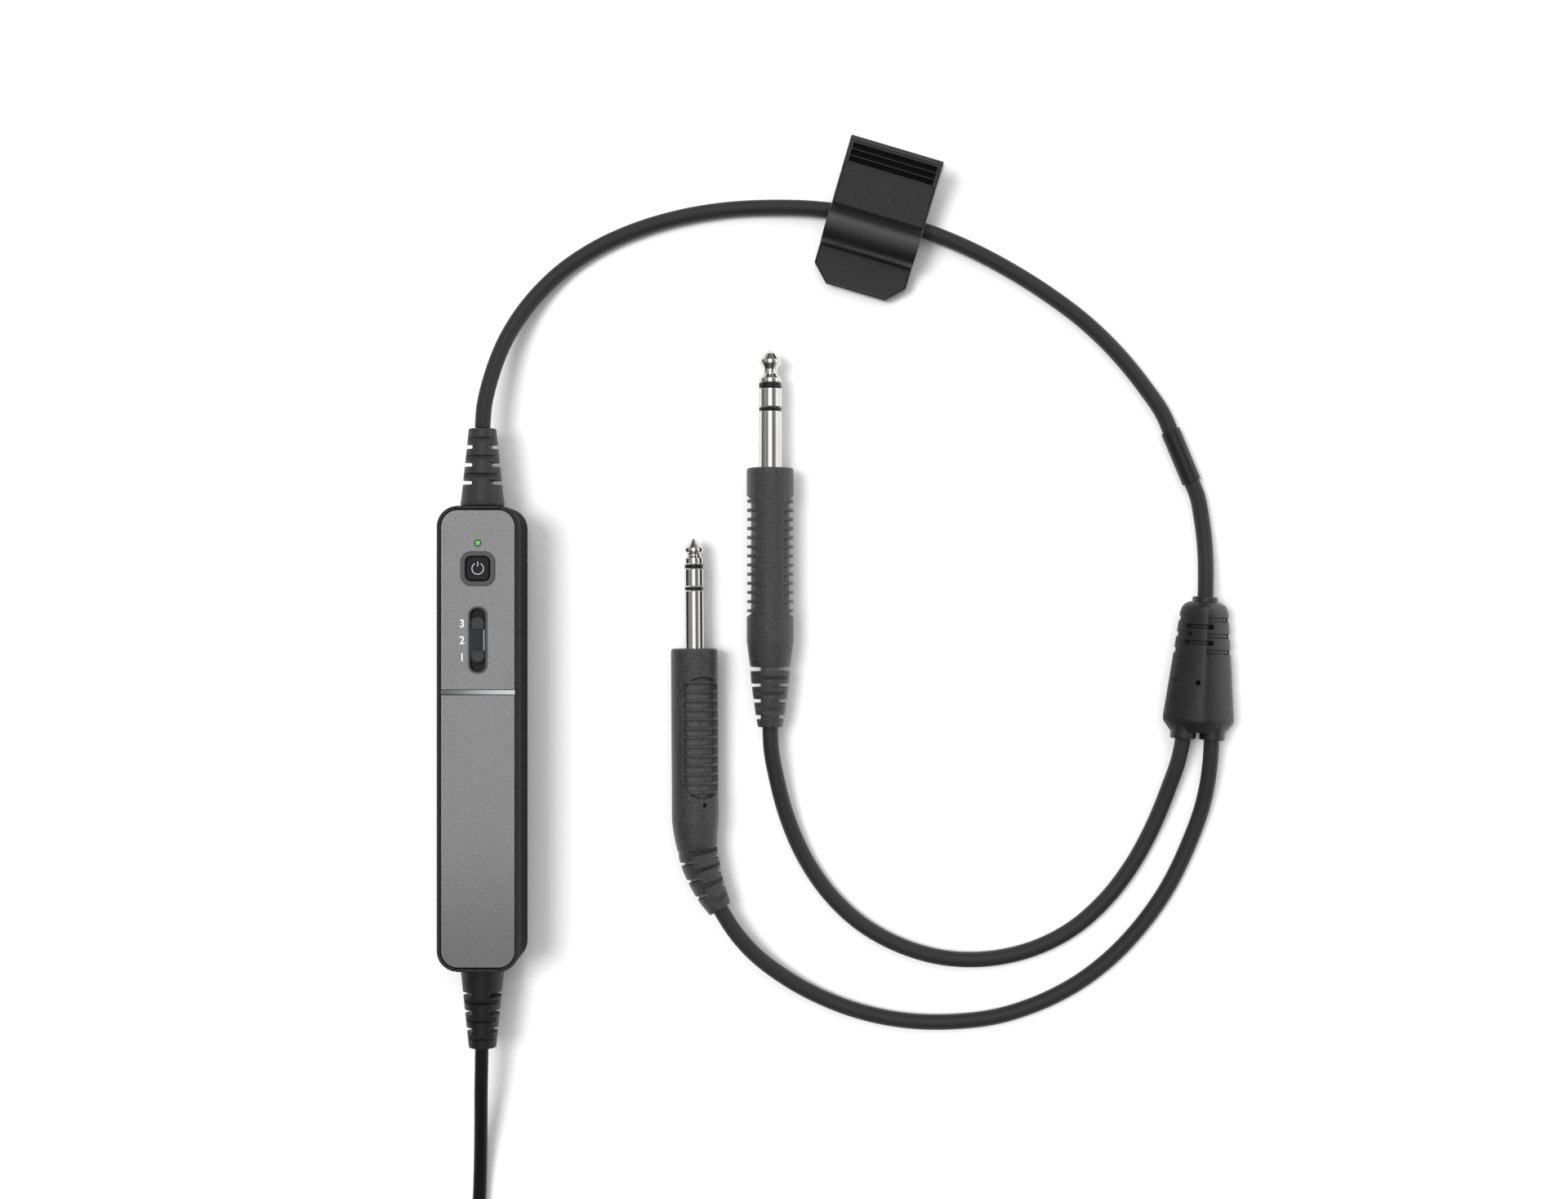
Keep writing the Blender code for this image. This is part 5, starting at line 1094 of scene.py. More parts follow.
    def build_button(self) -> None:
        """The power button, its surround and the power symbol on it."""
        y = self.button_y
        cap = RoundRect(6.3, 6.3, 1.5, (0, y)).slab("button_cap", 19.2, 20.35, 0.0, 0.4, 6)
        flange = RoundRect(7.6, 7.6, 2.0, (0, y)).slab("button_rim", 19.05, 19.4, 0.1, 0.1)
        dress(joined("power_button_moulding", [cap, flange]), BUTTON, "button", ["power_button"])
        rim = RoundRect(9.1, 9.1, 2.8, (0, y)).slab("surround_rim", 20.3, 20.75, 0.05, 0.3, 6)
        collar = RoundRect(8.1, 8.1, 2.3, (0, y)).slab("surround_collar", 19.7, 20.5)
        boolean(rim, [collar], "UNION")
        boolean(rim, [RoundRect(6.7, 6.7, 1.7, (0, y)).slab("surround_opening", *self.through)])
        rim.name = "button_surround_moulding"
        dress(bevelled(rim, 0.1), SURROUND, nodes=["button_surround"])
        self.build_symbol(y, 20.35)

    def build_symbol(self, y: float, top: float, radius: float = 1.5, stroke: float = 0.105,
                     opening: float = 30.0) -> None:
        """A broken ring with a bar in its gap, printed on the button."""
        steps = 40
        turn = 360 - 2 * opening
        angles = [math.radians(90 + opening + turn * step / steps) for step in range(steps + 1)]
        outline = [(reach * math.cos(angle), y + reach * math.sin(angle))
                   for reach, turns in ((radius + stroke, angles), (radius - stroke, angles[::-1]))
                   for angle in turns]
        low, high = top - 0.01, top + 0.015
        ring = prism("symbol_ring", outline, low, high)
        bar = RoundRect(stroke * 2, 1.3, stroke * 0.9, (0, y + 1.2), 4).slab("symbol_bar", low, high)
        dress(joined("power_symbol", [ring, bar]), SYMBOL_INK_AND_HIGHLIGHT, "button")

    def build_slider(self) -> None:
        """The slot's frame and the slider with its window, and a painted highlight along the window's right
        edge.
        """
        y = self.slot_y
        ring = RoundRect(5.1, 17.6, 2.35, (0, y)).slab("slot_frame_moulding", 20.3, 20.55, 0.04, 0.15)
        opening = RoundRect(4.1, self.slot_length, 1.85, (0, y))
        boolean(ring, [opening.slab("frame_opening", *self.through)])
        dress(ring, SURROUND, nodes=["slot_frame"])
        knob = RoundRect(3.7, 12.2, 1.7, (0, y)).slab("level_slider_moulding", 18.75, 21.0, 0.0, 0.65, 7)
        boolean(knob, [boxes("knob_dip", [((-5, y - 3.0, 20.35), (5, y + 2.9, 30))])])
        bevelled(knob, 0.12, 3)
        reach = self.slot_length / 2 + self.slot_travel + 0.3
        foot = RoundRect(5.2, 2 * reach, 0.4, (0, y)).slab("slider_foot", 18.35, 18.8, 0.05, 0.05)
        stem = RoundRect(1.6, 1.8, 0.2, (0, y)).slab("slider_stem", 17.8, 18.5, 0.1, 0.0)
        knob.name = "level_slider_knob"
        dress(knob, SLIDER, "slider", ["level_slider"])
        dress(joined("level_slider_foot", [foot, stem]), BUTTON, "slider")
        length, low = 5.3, 20.3
        window = RoundRect(3.1, length, 0.3, (0.0, y - 0.05)).slab("slider_window_plate", low, 20.5, 0.0, 0.1)
        dress(window, WINDOW, "slider")
        # Painted highlight: a thin light-grey strip along the window's right edge, in the symbol's ink
        # finish.
        edge = RoundRect(0.22, length, 0.08, (1.66, y - 0.05), 4)
        dress(edge.slab("slider_window_edge", low, 20.62, 0.0, 0.08), SYMBOL_INK_AND_HIGHLIGHT, "slider")

    def build_light(self) -> None:
        """The status light's domed lens."""
        profile = filleted([(0.72, 18.1), (0.72, 20.28), (0.1, 20.42)], 0.25)
        lens = turned("status_lens_dome", profile, 40)
        dress(carry(lens, shift(0, self.light_y, 0)), LENS, nodes=["status_lens"])

    def build_legend(self) -> None:
        """Plain numbers beside the slider's three positions."""
        for text, y in self.legend:
            curve = bpy.data.curves.new(f"legend_{text}", "FONT")
            curve.body = text
            curve.align_x = "RIGHT"
            curve.align_y = "CENTER"
            curve.extrude = 0.008
            curve.offset = 0.014
            shape = new_object(f"legend_{text}_shape", curve)
            data = evaluated_mesh(shape)
            bpy.data.objects.remove(shape, do_unlink=True)
            number = new_object(f"legend_{text}", data)
            place = shift(self.legend_x, y, self.plate_high + 0.01)
            dress(carry(number, place @ Matrix.Scale(self.legend_size * MM, 4)), LEGEND)

    def dress_inside(self) -> None:
        """Finishes for the pieces inside the case, which keep their CAD shapes."""
        for node, finish in (
            ("circuit_board", BOARD), ("signal_processor", CHIP), ("button_switch", CHIP),
            ("slide_switch_body", CHIP), ("status_light", CHIP), ("battery_cell_1", CELL),
            ("battery_cell_2", CELL), ("contact_plate", NICKEL), ("spring_plate", NICKEL),
        ):
            finish.wear(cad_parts[node])

    def build_contact_spring(self, springs: SpringTree) -> None:
        """The conical spring that presses the cells together."""
        spring = springs.make("contact_spring_wire", NICKEL, turns=3.0, low_radius=3.6, high_radius=2.2,
                              height=2.6, wire_radius=0.3)
        carry(spring, shift(*self.spring_seat) @ spin(-90, "X"))
        dress(spring, NICKEL, nodes=["contact_spring"])

    def build_screws(self) -> None:
        """The two case screws with cross recesses."""
        x, y = self.screw
        for side, word in ((-1, "left"), (1, "right")):
            profile = filleted([(0.05, 0.7), (1.8, 0.7), (1.8, 2.0), (1.0, 2.0), (1.0, 18.0), (0.6, 18.2),
                                (0.05, 18.2)], 0.15)
            screw = turned(f"case_screw_{word}_steel", profile, 32)
            boolean(screw, [
                boxes("recess_across", [((-1.1, -0.22, 0), (1.1, 0.22, 1.3))]),
                boxes("recess_along", [((-0.22, -1.1, 0), (0.22, 1.1, 1.31))]),
            ])
            dress(carry(screw, shift(side * x, y, 0)), STEEL, nodes=[f"case_screw_{word}"])

    def build(self, rows: RepeatTree, springs: SpringTree) -> None:
        """Makes and dresses the whole module."""
        self.build_bezel()
        self.build_shell()
        self.build_door(rows)
        self.build_inserts()
        self.build_plates()
        self.build_button()
        self.build_slider()
        self.build_light()
        self.build_legend()
        self.build_contact_spring(springs)
        self.build_screws()
        self.dress_inside()


# Strain reliefs


def slot_pair(name: str, level: float, core: float, gap: float, across: bool = True) -> bpy.types.Object:
    """Two boxes that cut a slot from opposite sides of a relief.

    Args:
        name: the cutter's name.
        level: the slot's height along the relief.
        core: half the thickness that stays between the two cuts.
        gap: the slot's own height.
        across: cuts from both X sides instead of both Y sides.

    Returns:
        The cutter.
    """
    reach = 9.0
    low, high = level - gap / 2, level + gap / 2
    corners = []
    for side in (-1, 1):
        inner, outer = sorted((side * core, side * reach))
        corners.append(((inner, -reach, low), (outer, reach, high)) if across
                       else ((-reach, inner, low), (reach, outer, high)))
    return boxes(name, corners)


@dataclass
class SlottedBoot:
    """A tapered strain relief with slots cut in turn from its sides and from its front and back."""

    name: str
    profile: Sequence[tuple[float, float]]
    side_levels: Sequence[float]
    front_levels: Sequence[float]
    side_core: float
    front_core: float
    side_gap: float
    front_gap: float
    edge: float = 0.09

    def build(self, rows: RepeatTree) -> bpy.types.Object:
        """The boot along its own Z axis."""
        boot = turned(self.name, filleted(self.profile, 0.3), 72)
        for levels, core, gap, across in (
            (self.side_levels, self.side_core, self.side_gap, True),
            (self.front_levels, self.front_core, self.front_gap, False),
        ):
            pitch = levels[1] - levels[0] if len(levels) > 1 else 0.0
            one = slot_pair(f"{self.name}_slot", levels[0], core, gap, across)
            boolean(boot, [rows.make(f"{self.name}_slots", one, len(levels), (0, 0, pitch))])
        return bevelled(boot, self.edge, 2, 50.0)


@dataclass
class ModuleBoots:
    """The two boots on the control module's ends."""

    boot_z: float = 11.0
    start: float = 61.35
    base_radius: float = 5.8
    end_radius: float = 3.65
    neck_radius: float = 3.5
    ends: tuple[tuple[str, int, float], ...] = (("upper_boot", 1, 81.9), ("lower_boot", -1, 82.5))

    def build(self, rows: RepeatTree) -> dict[str, bpy.types.Object]:
        """Makes both boots.

        Returns:
            The boots by their CAD names.
        """
        made = {}
        for name, side, end in self.ends:
            length = end - self.start
            profile = [
                (0.05, length), (self.end_radius, length), (self.base_radius - 0.12, 1.25),
                (self.base_radius, 1.15), (self.base_radius, 0), (self.neck_radius, 0),
                (self.neck_radius, -2.3), (4.9, -2.3), (4.9, -3.6), (0.05, -3.6),
            ]
            boot = SlottedBoot(
                f"{name}_moulding", profile,
                [length - 4.9 - 4.75 * i for i in range(3)], [length - 2.95 - 4.8 * i for i in range(3)],
                2.2, 2.3, 1.2, 1.2,
            ).build(rows)
            carry(boot, shift(0, side * self.start, self.boot_z) @ spin(-90 * side, "X"))
            made[name] = dress(boot, BOOT, nodes=[name])
        return made


# Plugs


@dataclass
class Plug:
    """One aircraft plug: moulded handle with ribbed grips, bent or straight relief, and the metal pin.

    Heights along its axis are counted from the handle's front face, positive towards the tip.
    """

    name: str
    face: tuple[float, float]
    turn: float
    roll: float
    pin_radius: float
    tip: Sequence[tuple[float, float]]
    insulators: Sequence[tuple[float, float]]
    ring: tuple[float, float]
    sleeve: float
    bend: float
    height: float = 6.3
    pin_seat: float = 4.7
    rod_radius: float = 0.8
    radius: float = 6.25
    core: float = 5.1
    face_round: float = 0.7
    taper_start: float = 46.2
    taper: float = 0.9 / 7.0
    body_end: float = 53.0
    recess_half: float = 54.0  # degrees
    recess: tuple[float, float] = (7.5, 39.9)
    recess_end: float = 3.9
    recess_round: float = 4.4
    seam_high: float = 0.05
    seam_half: float = 2.2  # degrees
    rib_first: float = 8.9
    rib_pitch: float = 2.446
    rib_thickness: float = 0.83
    rib_count: int = 13
    bend_start: float = 47.0
    bend_reach: float = 24.0
    relief_end: float = 69.4

    def frame(self) -> Matrix:
        """Takes the plug's own axes to its place."""
        turn, roll = math.radians(self.turn), math.radians(self.roll)
        along = Vector((-math.sin(turn), math.cos(turn), 0))
        level = Vector((math.cos(turn), math.sin(turn), 0))
        side = level * math.cos(roll) + Vector((0, 0, 1)) * math.sin(roll)
        axes = Matrix((side, along.cross(side), along)).transposed().to_4x4()
        return shift(*self.face, self.height) @ axes

    def bend_point(self, point: Vector) -> Vector:
        """Bends a point of the relief, in the level plane, towards +X."""
        unroll = spin(-self.roll, "Z")
        flat = unroll @ point
        depth = -flat.z - self.bend_start * MM
        if depth <= 0 or not self.bend:
            return point
        arc = self.bend_reach * MM / math.radians(self.bend)
        turn = depth * self.bend_reach / (self.relief_end - self.bend_start) / arc
        inward = arc - flat.x
        moved = Vector((arc - inward * math.cos(turn), flat.y,
                        -self.bend_start * MM - inward * math.sin(turn)))
        return unroll.inverted() @ moved

    def bent(self, obj: bpy.types.Object) -> bpy.types.Object:
        """Bends a piece's mesh as the relief is bent."""
        for vertex in obj.data.vertices:
            vertex.co = self.bend_point(vertex.co)
        return obj

    def cord_run(self) -> list[tuple[float, float, float]]:
        """The cord's route inside the relief and the handle, from the relief's end in."""
        return [tuple(self.frame() @ self.bend_point(Vector((0, 0, -depth)) * MM) / MM)
                for depth in (67.0, 62.0, 57.0, 52.0, 47.0, 42.0)]

    def plain_radius(self, depth: float) -> float:
        """The radius of the handle's plain turned form at a depth below the front face."""
        if depth < self.face_round:
            return self.radius - 0.6 + 0.6 * math.sqrt(1 - (1 - depth / self.face_round) ** 2)
        return self.radius - max(0.0, depth - self.taper_start) * self.taper

    def surface(self, angle: float, depth: float) -> float:
        """The handle's radius at an angle from a grip's middle and a depth below the front face."""
        outer = self.plain_radius(depth)
        low, high = self.recess
        middle, half = (low + high) / 2, (high - low) / 2
        across = abs(math.radians(angle)) / math.radians(self.recess_half)
        past = max(0.0, abs(depth - middle) - (half - self.recess_end)) / self.recess_end
        inside = (1 - math.hypot(across, past)) * self.recess_round
        seam = self.seam_high * max(0.0, 1 - abs(angle) / self.seam_half)
        if inside <= 0:
            return outer + seam
        return outer - (outer - self.core) * smoothstep(0.0, 0.4, inside) + seam * 0.6

    def build_handle(self) -> bpy.types.Object:
        """The handle's body with its two long recesses, closed at both ends."""
        # Points stand close where the recesses have their edges, and far apart elsewhere.
        angles = []
        for middle in (0.0, 180.0):
            angles += [middle + 1.9 * step for step in range(-31, 32)]
            angles += [middle + 58.9 + 62.2 * step / 9 for step in range(1, 9)]
        depths = [0.12, 0.35, 0.7, 1.1, 2.5, 4.5, 6.6]
        depths += [7.2 + 0.22 * step for step in range(22)]
        depths += [14.0, 17.0, 20.0, 23.0, 26.0, 29.0, 32.0, 34.5]
        depths += [35.4 + 0.22 * step for step in range(22)]
        depths += [41.2, 43.5, 45.4, 46.2, 47.0, 49.0, 51.0, 53.0]
        turns = [math.radians(angle) for angle in angles]
        bore = self.pin_radius + 0.15
        rings = [circle(radius, turns, z) for radius, z in (
            (bore, -self.pin_seat - 0.3), (bore, -0.15), (bore + 0.15, 0.0), (self.radius - 0.6, 0.0),
        )]
        for depth in depths:
            reaches = [self.surface((angle + 90) % 180 - 90, depth) for angle in angles]
            rings.append([(reach * math.cos(turn), reach * math.sin(turn), -depth)
                          for reach, turn in zip(reaches, turns)])
        rings.append(circle(self.plain_radius(self.body_end) - 0.25, turns, -self.body_end - 0.3))
        handle = loft(f"{self.name}_handle_moulding", rings)
        pit = rod("gate_pit", 0.6, (4.6, 0, -41.6), (8, 0, -41.6), 20)
        boolean(handle, [pit])
        low, high = self.recess
        return shared(handle, [HANDLE, GRIP], lambda centre, normal: int(
            low < -centre.z < high and math.hypot(centre.x, centre.y) < self.core + 0.2))

    def build_ribs(self, rows: RepeatTree) -> bpy.types.Object:
        """The grip ribs in both recesses."""
        reach, top = math.radians(self.recess_half + 1.0), self.radius - 0.03
        section = filleted([
            (self.core - 0.4, -self.rib_thickness / 2), (top, -self.rib_thickness / 2),
            (top, self.rib_thickness / 2), (self.core - 0.4, self.rib_thickness / 2),
        ], 0.16, closed=True, steps=3)
        steps = 28
        pair = joined("rib_pair", [
            loft("rib", [
                [(r * math.cos(angle), r * math.sin(angle), z - self.rib_first) for r, z in section]
                for angle in (side - reach + 2 * reach * step / steps for step in range(steps + 1))
            ])
            for side in (0.0, math.pi)
        ])
        return rows.make(f"{self.name}_grip_ribs", pair, self.rib_count, (0, 0, -self.rib_pitch), HANDLE)

    def build_relief(self, rows: RepeatTree) -> bpy.types.Object:
        """The slotted strain relief below the handle."""
        profile = [(0.05, -52.6), (5.0, -52.6), (5.3, -54.4), (5.08, -57.7), (4.52, -61.8), (3.92, -66.1),
                   (3.3, -69.4), (0.05, -69.4)]
        relief = turned(f"{self.name}_strain_relief", filleted(profile, 0.3), 72)
        for level, gap in ((-53.9, 1.2), (-58.2, 1.0), (-62.4, 1.1), (-66.75, 1.2)):
            boolean(relief, [slot_pair("side_slot", level, 2.5, gap)])
        one = slot_pair("front_slot", -56.1, 2.6, 0.9, across=False)
        boolean(relief, [rows.make("front_slots", one, 3, (0, 0, -4.2))])
        return bevelled(relief, 0.14, 2, 50.0)

    def build_pin(self) -> list[bpy.types.Object]:
        """The tip, ring, sleeve and the insulators between them."""
        tip_profile = filleted([(0.06, self.tip[0][1] + 0.12), *self.tip], 0.5, steps=5)
        low = self.tip[-1][1]
        tip = turned(f"{self.name}_tip_metal", [
            *tip_profile, (self.rod_radius, low), (self.rod_radius, 1.0), (0.05, 1.0),
        ])
        made = [dress(carry(tip, self.frame()), PLUG_METAL, nodes=[f"{self.name}_tip"], sharp=50)]
        stack = [
            ("insulator_1", self.pin_radius - 0.18, self.insulators[0], INSULATOR),
            ("ring", self.pin_radius, self.ring, PLUG_METAL),
            ("insulator_2", self.pin_radius - 0.18, self.insulators[1], INSULATOR),
            ("sleeve", self.pin_radius, (self.sleeve, -self.pin_seat), PLUG_METAL),
        ]
        bore = self.rod_radius + 0.3
        for word, outer, (high, low), finish in stack:
            profile = filleted([(outer, high), (outer, low), (bore, low), (bore, high)], 0.12, closed=True)
            piece = turned(f"{self.name}_{word}_turned", profile, closed=True)
            made.append(dress(carry(piece, self.frame()), finish, nodes=[f"{self.name}_{word}"], sharp=50))
        return made

    def build(self, rows: RepeatTree) -> list[bpy.types.Object]:
        """Makes and dresses the whole plug.

        Returns:
            Its pieces.
        """
        made = []
        for piece in (self.build_handle(), self.build_ribs(rows), self.build_relief(rows)):
            carry(self.bent(piece), self.frame())
            made.append(dress(piece, None if len(piece.data.materials) > 1 else HANDLE))
        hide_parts(f"{self.name}_handle")
        return made + self.build_pin()


# Marker sleeve, splitter and connector


@dataclass
class MarkerSleeve:
    """The stiff sleeve round a straight stretch of the main cord."""

    centre: tuple[float, float, float] = (187.3, 75.1, 2.65)
    direction: tuple[float, float, float] = (0.3864, -0.9223, 0.0)
    length: float = 15.0
    radius: float = 2.6
    bore: float = 2.2

    def build(self) -> bpy.types.Object:
        """Makes and dresses the sleeve."""
        half = self.length / 2
        corners = [(self.radius, half), (self.radius, -half), (self.bore, -half), (self.bore, half)]
        sleeve = turned("marker_sleeve_shrink", filleted(corners, 0.15, closed=True), 48, closed=True)
        carry(sleeve, shift(*self.centre) @ aimed(Vector(self.direction)))
        return dress(sleeve, SLEEVE, nodes=["marker_sleeve"])


@dataclass
class Splitter:
    """The moulded Y-splitter: a lozenge in section, wider towards the two branch cords.

    Its own +Z runs to its one-cord end and its +Y down to the table.
    """

    top: tuple[float, float] = (193.22, 35.8)
    bottom: tuple[float, float] = (191.2, 0.9)
    height: float = 5.8
    top_half: tuple[float, float] = (6.25, 5.2)
    low_half: tuple[float, float] = (10.0, 5.8)
    power: float = 1.45  # 2 is an ellipse and 1 a lozenge with sharp corners
    collar_radius: float = 3.4
    collar_offset: float = 3.9
    slot_height: float = 1.25
    slot_depth: float = 0.9
    slit_width: float = 0.34
    slit_depth: float = 1.9
    slot_pitch: float = 4.3
    hole_radius: float = 0.68
    holes: tuple[tuple[float, float], ...] = ((-4.4, 8.6), (-7.4, 21.3), (-1.6, 21.6))  # x, below the top
    sides: int = 96

    def section(self, share: float, scale: float, z: float) -> list[tuple[float, float, float]]:
        """One section, a share of the way from the two-cord end to the one-cord end."""
        return [(*(self.edge(share, 360 * i / self.sides) * scale), z) for i in range(self.sides)]

    def edge(self, share: float, turn: float) -> Vector:
        """The section's edge at a turn in degrees, a share of the way to the one-cord end."""
        wide = self.low_half[0] + (self.top_half[0] - self.low_half[0]) * share
        thick = self.low_half[1] + (self.top_half[1] - self.low_half[1]) * share
        c, s = math.cos(math.radians(turn)), math.sin(math.radians(turn))
        reach = (abs(c) ** self.power + abs(s) ** self.power) ** (-1 / self.power)
        return Vector((reach * c * wide, reach * s * thick))

    def build(self) -> bpy.types.Object:
        """Makes and dresses the splitter."""
        top, bottom = Vector((*self.top, self.height)), Vector((*self.bottom, self.height))
        length = (top - bottom).length
        levels = [(0.0, 0.72), (0.3, 0.76), (2.6, 0.965), (3.2, 0.99), (4.0, 1.0), (12.0, 1.0), (20.0, 1.0),
                  (28.0, 1.0), (length - 3.0, 1.0), (length - 1.8, 0.97), (length - 0.8, 0.88),
                  (length - 0.15, 0.72), (length, 0.66)]
        body = loft("y_splitter_moulding", [self.section(z / length, scale, z) for z, scale in levels])
        for x, inner, outer in (
            (0.0, length - 2, length + 1.4), (-self.collar_offset, 2, -1.9), (self.collar_offset, 2, -1.9),
        ):
            collar = rod("collar", self.collar_radius, (x, 0, inner), (x, 0, outer), 48, 0.3)
            boolean(body, [collar], "UNION")
        for cutter in self.slots(length):
            boolean(body, [cutter])
        y_axis = Vector((0, 0, -1))
        z_axis = (top - bottom).normalized()
        turn = Matrix((y_axis.cross(z_axis), y_axis, z_axis)).transposed().to_4x4()
        carry(body, shift(*bottom) @ turn)
        return dress(body, SPLITTER, nodes=["y_splitter"])

    def slot(self, name: str, z: float, length: float, arc: tuple[float, float],
             end_depth: float) -> bpy.types.Object:
        """A cutter for one slot, which follows the section, with a deep slit along both edges.

        Args:
            name: the cutter's name.
            z: the slot's height along the body.
            length: the body's length.
            arc: the turns in degrees at which the slot starts and ends.
            end_depth: how deep the slot is at its two ends.

        Returns:
            The cutter.
        """
        first, last = arc
        half, slit, steps = self.slot_height / 2, self.slit_depth, 24
        middle = half - self.slit_width
        rings = []
        for step in range(steps + 1):
            turn = first + (last - first) * step / steps
            edge = self.edge(z / length, turn)
            floor = end_depth if min(turn - first, last - turn) < 8.0 else self.slot_depth
            rings.append([
                (*(edge * 1.5 if depth is None else edge * (1 - depth / edge.length)), z + up)
                for depth, up in ((None, -half), (slit, -half), (slit, -middle), (floor, -middle),
                                  (floor, middle), (slit, middle), (slit, half), (None, half))
            ])
        return loft(name, rings)

    def slots(self, length: float) -> list[bpy.types.Object]:
        """Cutters for the slots of each facet, in turn, and for the mould holes."""
        made = []
        for name, below, count, arc, end_depth in (
            ("even", 4.6, 3, (91.3, 187.7), self.slot_depth), ("odd", 6.6, 2, (31.3, 105.7), 2.3),
        ):
            for half_turn in (0, 180):
                for step in range(count):
                    made.append(self.slot(
                        f"{name}_slot_{half_turn}_{step}", length - below - self.slot_pitch * step, length,
                        (arc[0] + half_turn, arc[1] + half_turn), end_depth,
                    ))
        for x, below in self.holes:
            z = length - below
            made.append(rod("mould_hole", self.hole_radius, (x, 0, z), (x, -9, z), 20))
        return made


@dataclass
class Connector:
    """The connector at the headset's end of the cord: slotted boot, ridged shell and contact insert."""

    start: tuple[float, float, float] = (69.0, -178.0, 4.6)
    contacts: int = 6
    contact_circle: float = 2.0

    def build(self, rows: RepeatTree, rings: RepeatTree) -> list[bpy.types.Object]:
        """Makes and dresses the connector's pieces."""
        place = shift(*self.start) @ spin(90, "Y")
        boot = SlottedBoot(
            "connector_boot_moulding",
            [(0.05, 17.0), (4.1, 17.0), (4.1, 13.0), (2.3, 0), (0.05, 0)],
            [3.0, 7.0, 11.0], [5.0, 9.0], 1.5, 1.9, 1.0, 0.9, 0.1,
        ).build(rows)
        shell = turned("shell_turned", filleted([
            (4.45, 36.0), (4.45, 17.3), (1.5, 17.3), (1.5, 24.0), (3.9, 24.0), (3.9, 36.0),
        ], 0.25, closed=True), closed=True)
        ridge = boxes("ridge", [((4.3, -0.17, 19.0), (4.6, 0.17, 27.0))])
        ridges = rings.make("shell_ridges", bevelled(ridge, 0.08), 36)
        shell = joined("connector_shell_steel", [shell, ridges])
        insert = turned("connector_insert_moulding", filleted([
            (0.05, 31.0), (3.6, 31.0), (3.6, 24.3), (1.2, 24.3), (1.2, 18.0), (0.05, 18.0),
        ], 0.15))
        out = self.contact_circle
        hole = rod("contact_hole", 0.5, (out, 0, 26.0), (out, 0, 33.0), 20)
        boolean(insert, [rings.make("contact_holes", hole, self.contacts)])
        socket = turned("contact", filleted([
            (0.42, 30.8), (0.42, 26.2), (0.26, 26.2), (0.26, 30.8),
        ], 0.05, closed=True), 20, closed=True)
        carry(socket, shift(out, 0, 0))
        sockets = rings.make("connector_contacts", socket, self.contacts, finish=NICKEL)
        made = []
        for piece, finish, node in (
            (boot, BOOT, "connector_boot"), (shell, STEEL, "connector_shell"),
            (insert, INSULATOR, "connector_insert"), (sockets, NICKEL, None),
        ):
            made.append(dress(carry(piece, place), finish, nodes=[node] if node else []))
        return made


@dataclass
class CoilTie:
    """The woven strap round the headset cord's coil."""

    centre: tuple[float, float] = (20.0, -158.0)
    angle: float = 100.0
    width: float = 9.0
    thickness: float = 0.5

    def build(self) -> bpy.types.Object:
        """Makes and dresses the strap."""
        path = filleted([
            (13.9, 0.15), (26.1, 0.15), (26.1, 3.9), (22.9, 10.75), (17.4, 10.75), (13.9, 3.9),
        ], 1.6, closed=True, steps=6)
        middle = Vector((sum(x for x, _ in path) / len(path), sum(z for _, z in path) / len(path)))
        rings = []
        for x, z in path:
            out = (Vector((x, z)) - middle).normalized() * self.thickness
            out.y = max(out.y, -0.14)
            half = self.width / 2
            rings.append([
                (x, -half, z), (x, half, z), (x + out.x * 0.8, half, z + out.y * 0.8),
                (x + out.x, half - 0.3, z + out.y), (x + out.x, 0.3 - half, z + out.y),
                (x + out.x * 0.8, -half, z + out.y * 0.8),
            ])
        strap = loft("coil_tie_strap", rings, closed=True)
        carry(strap, shift(*self.centre, 0) @ spin(self.angle, "Z"))
        return dress(strap, TIE, nodes=["coil_tie"])


# Clothing clip


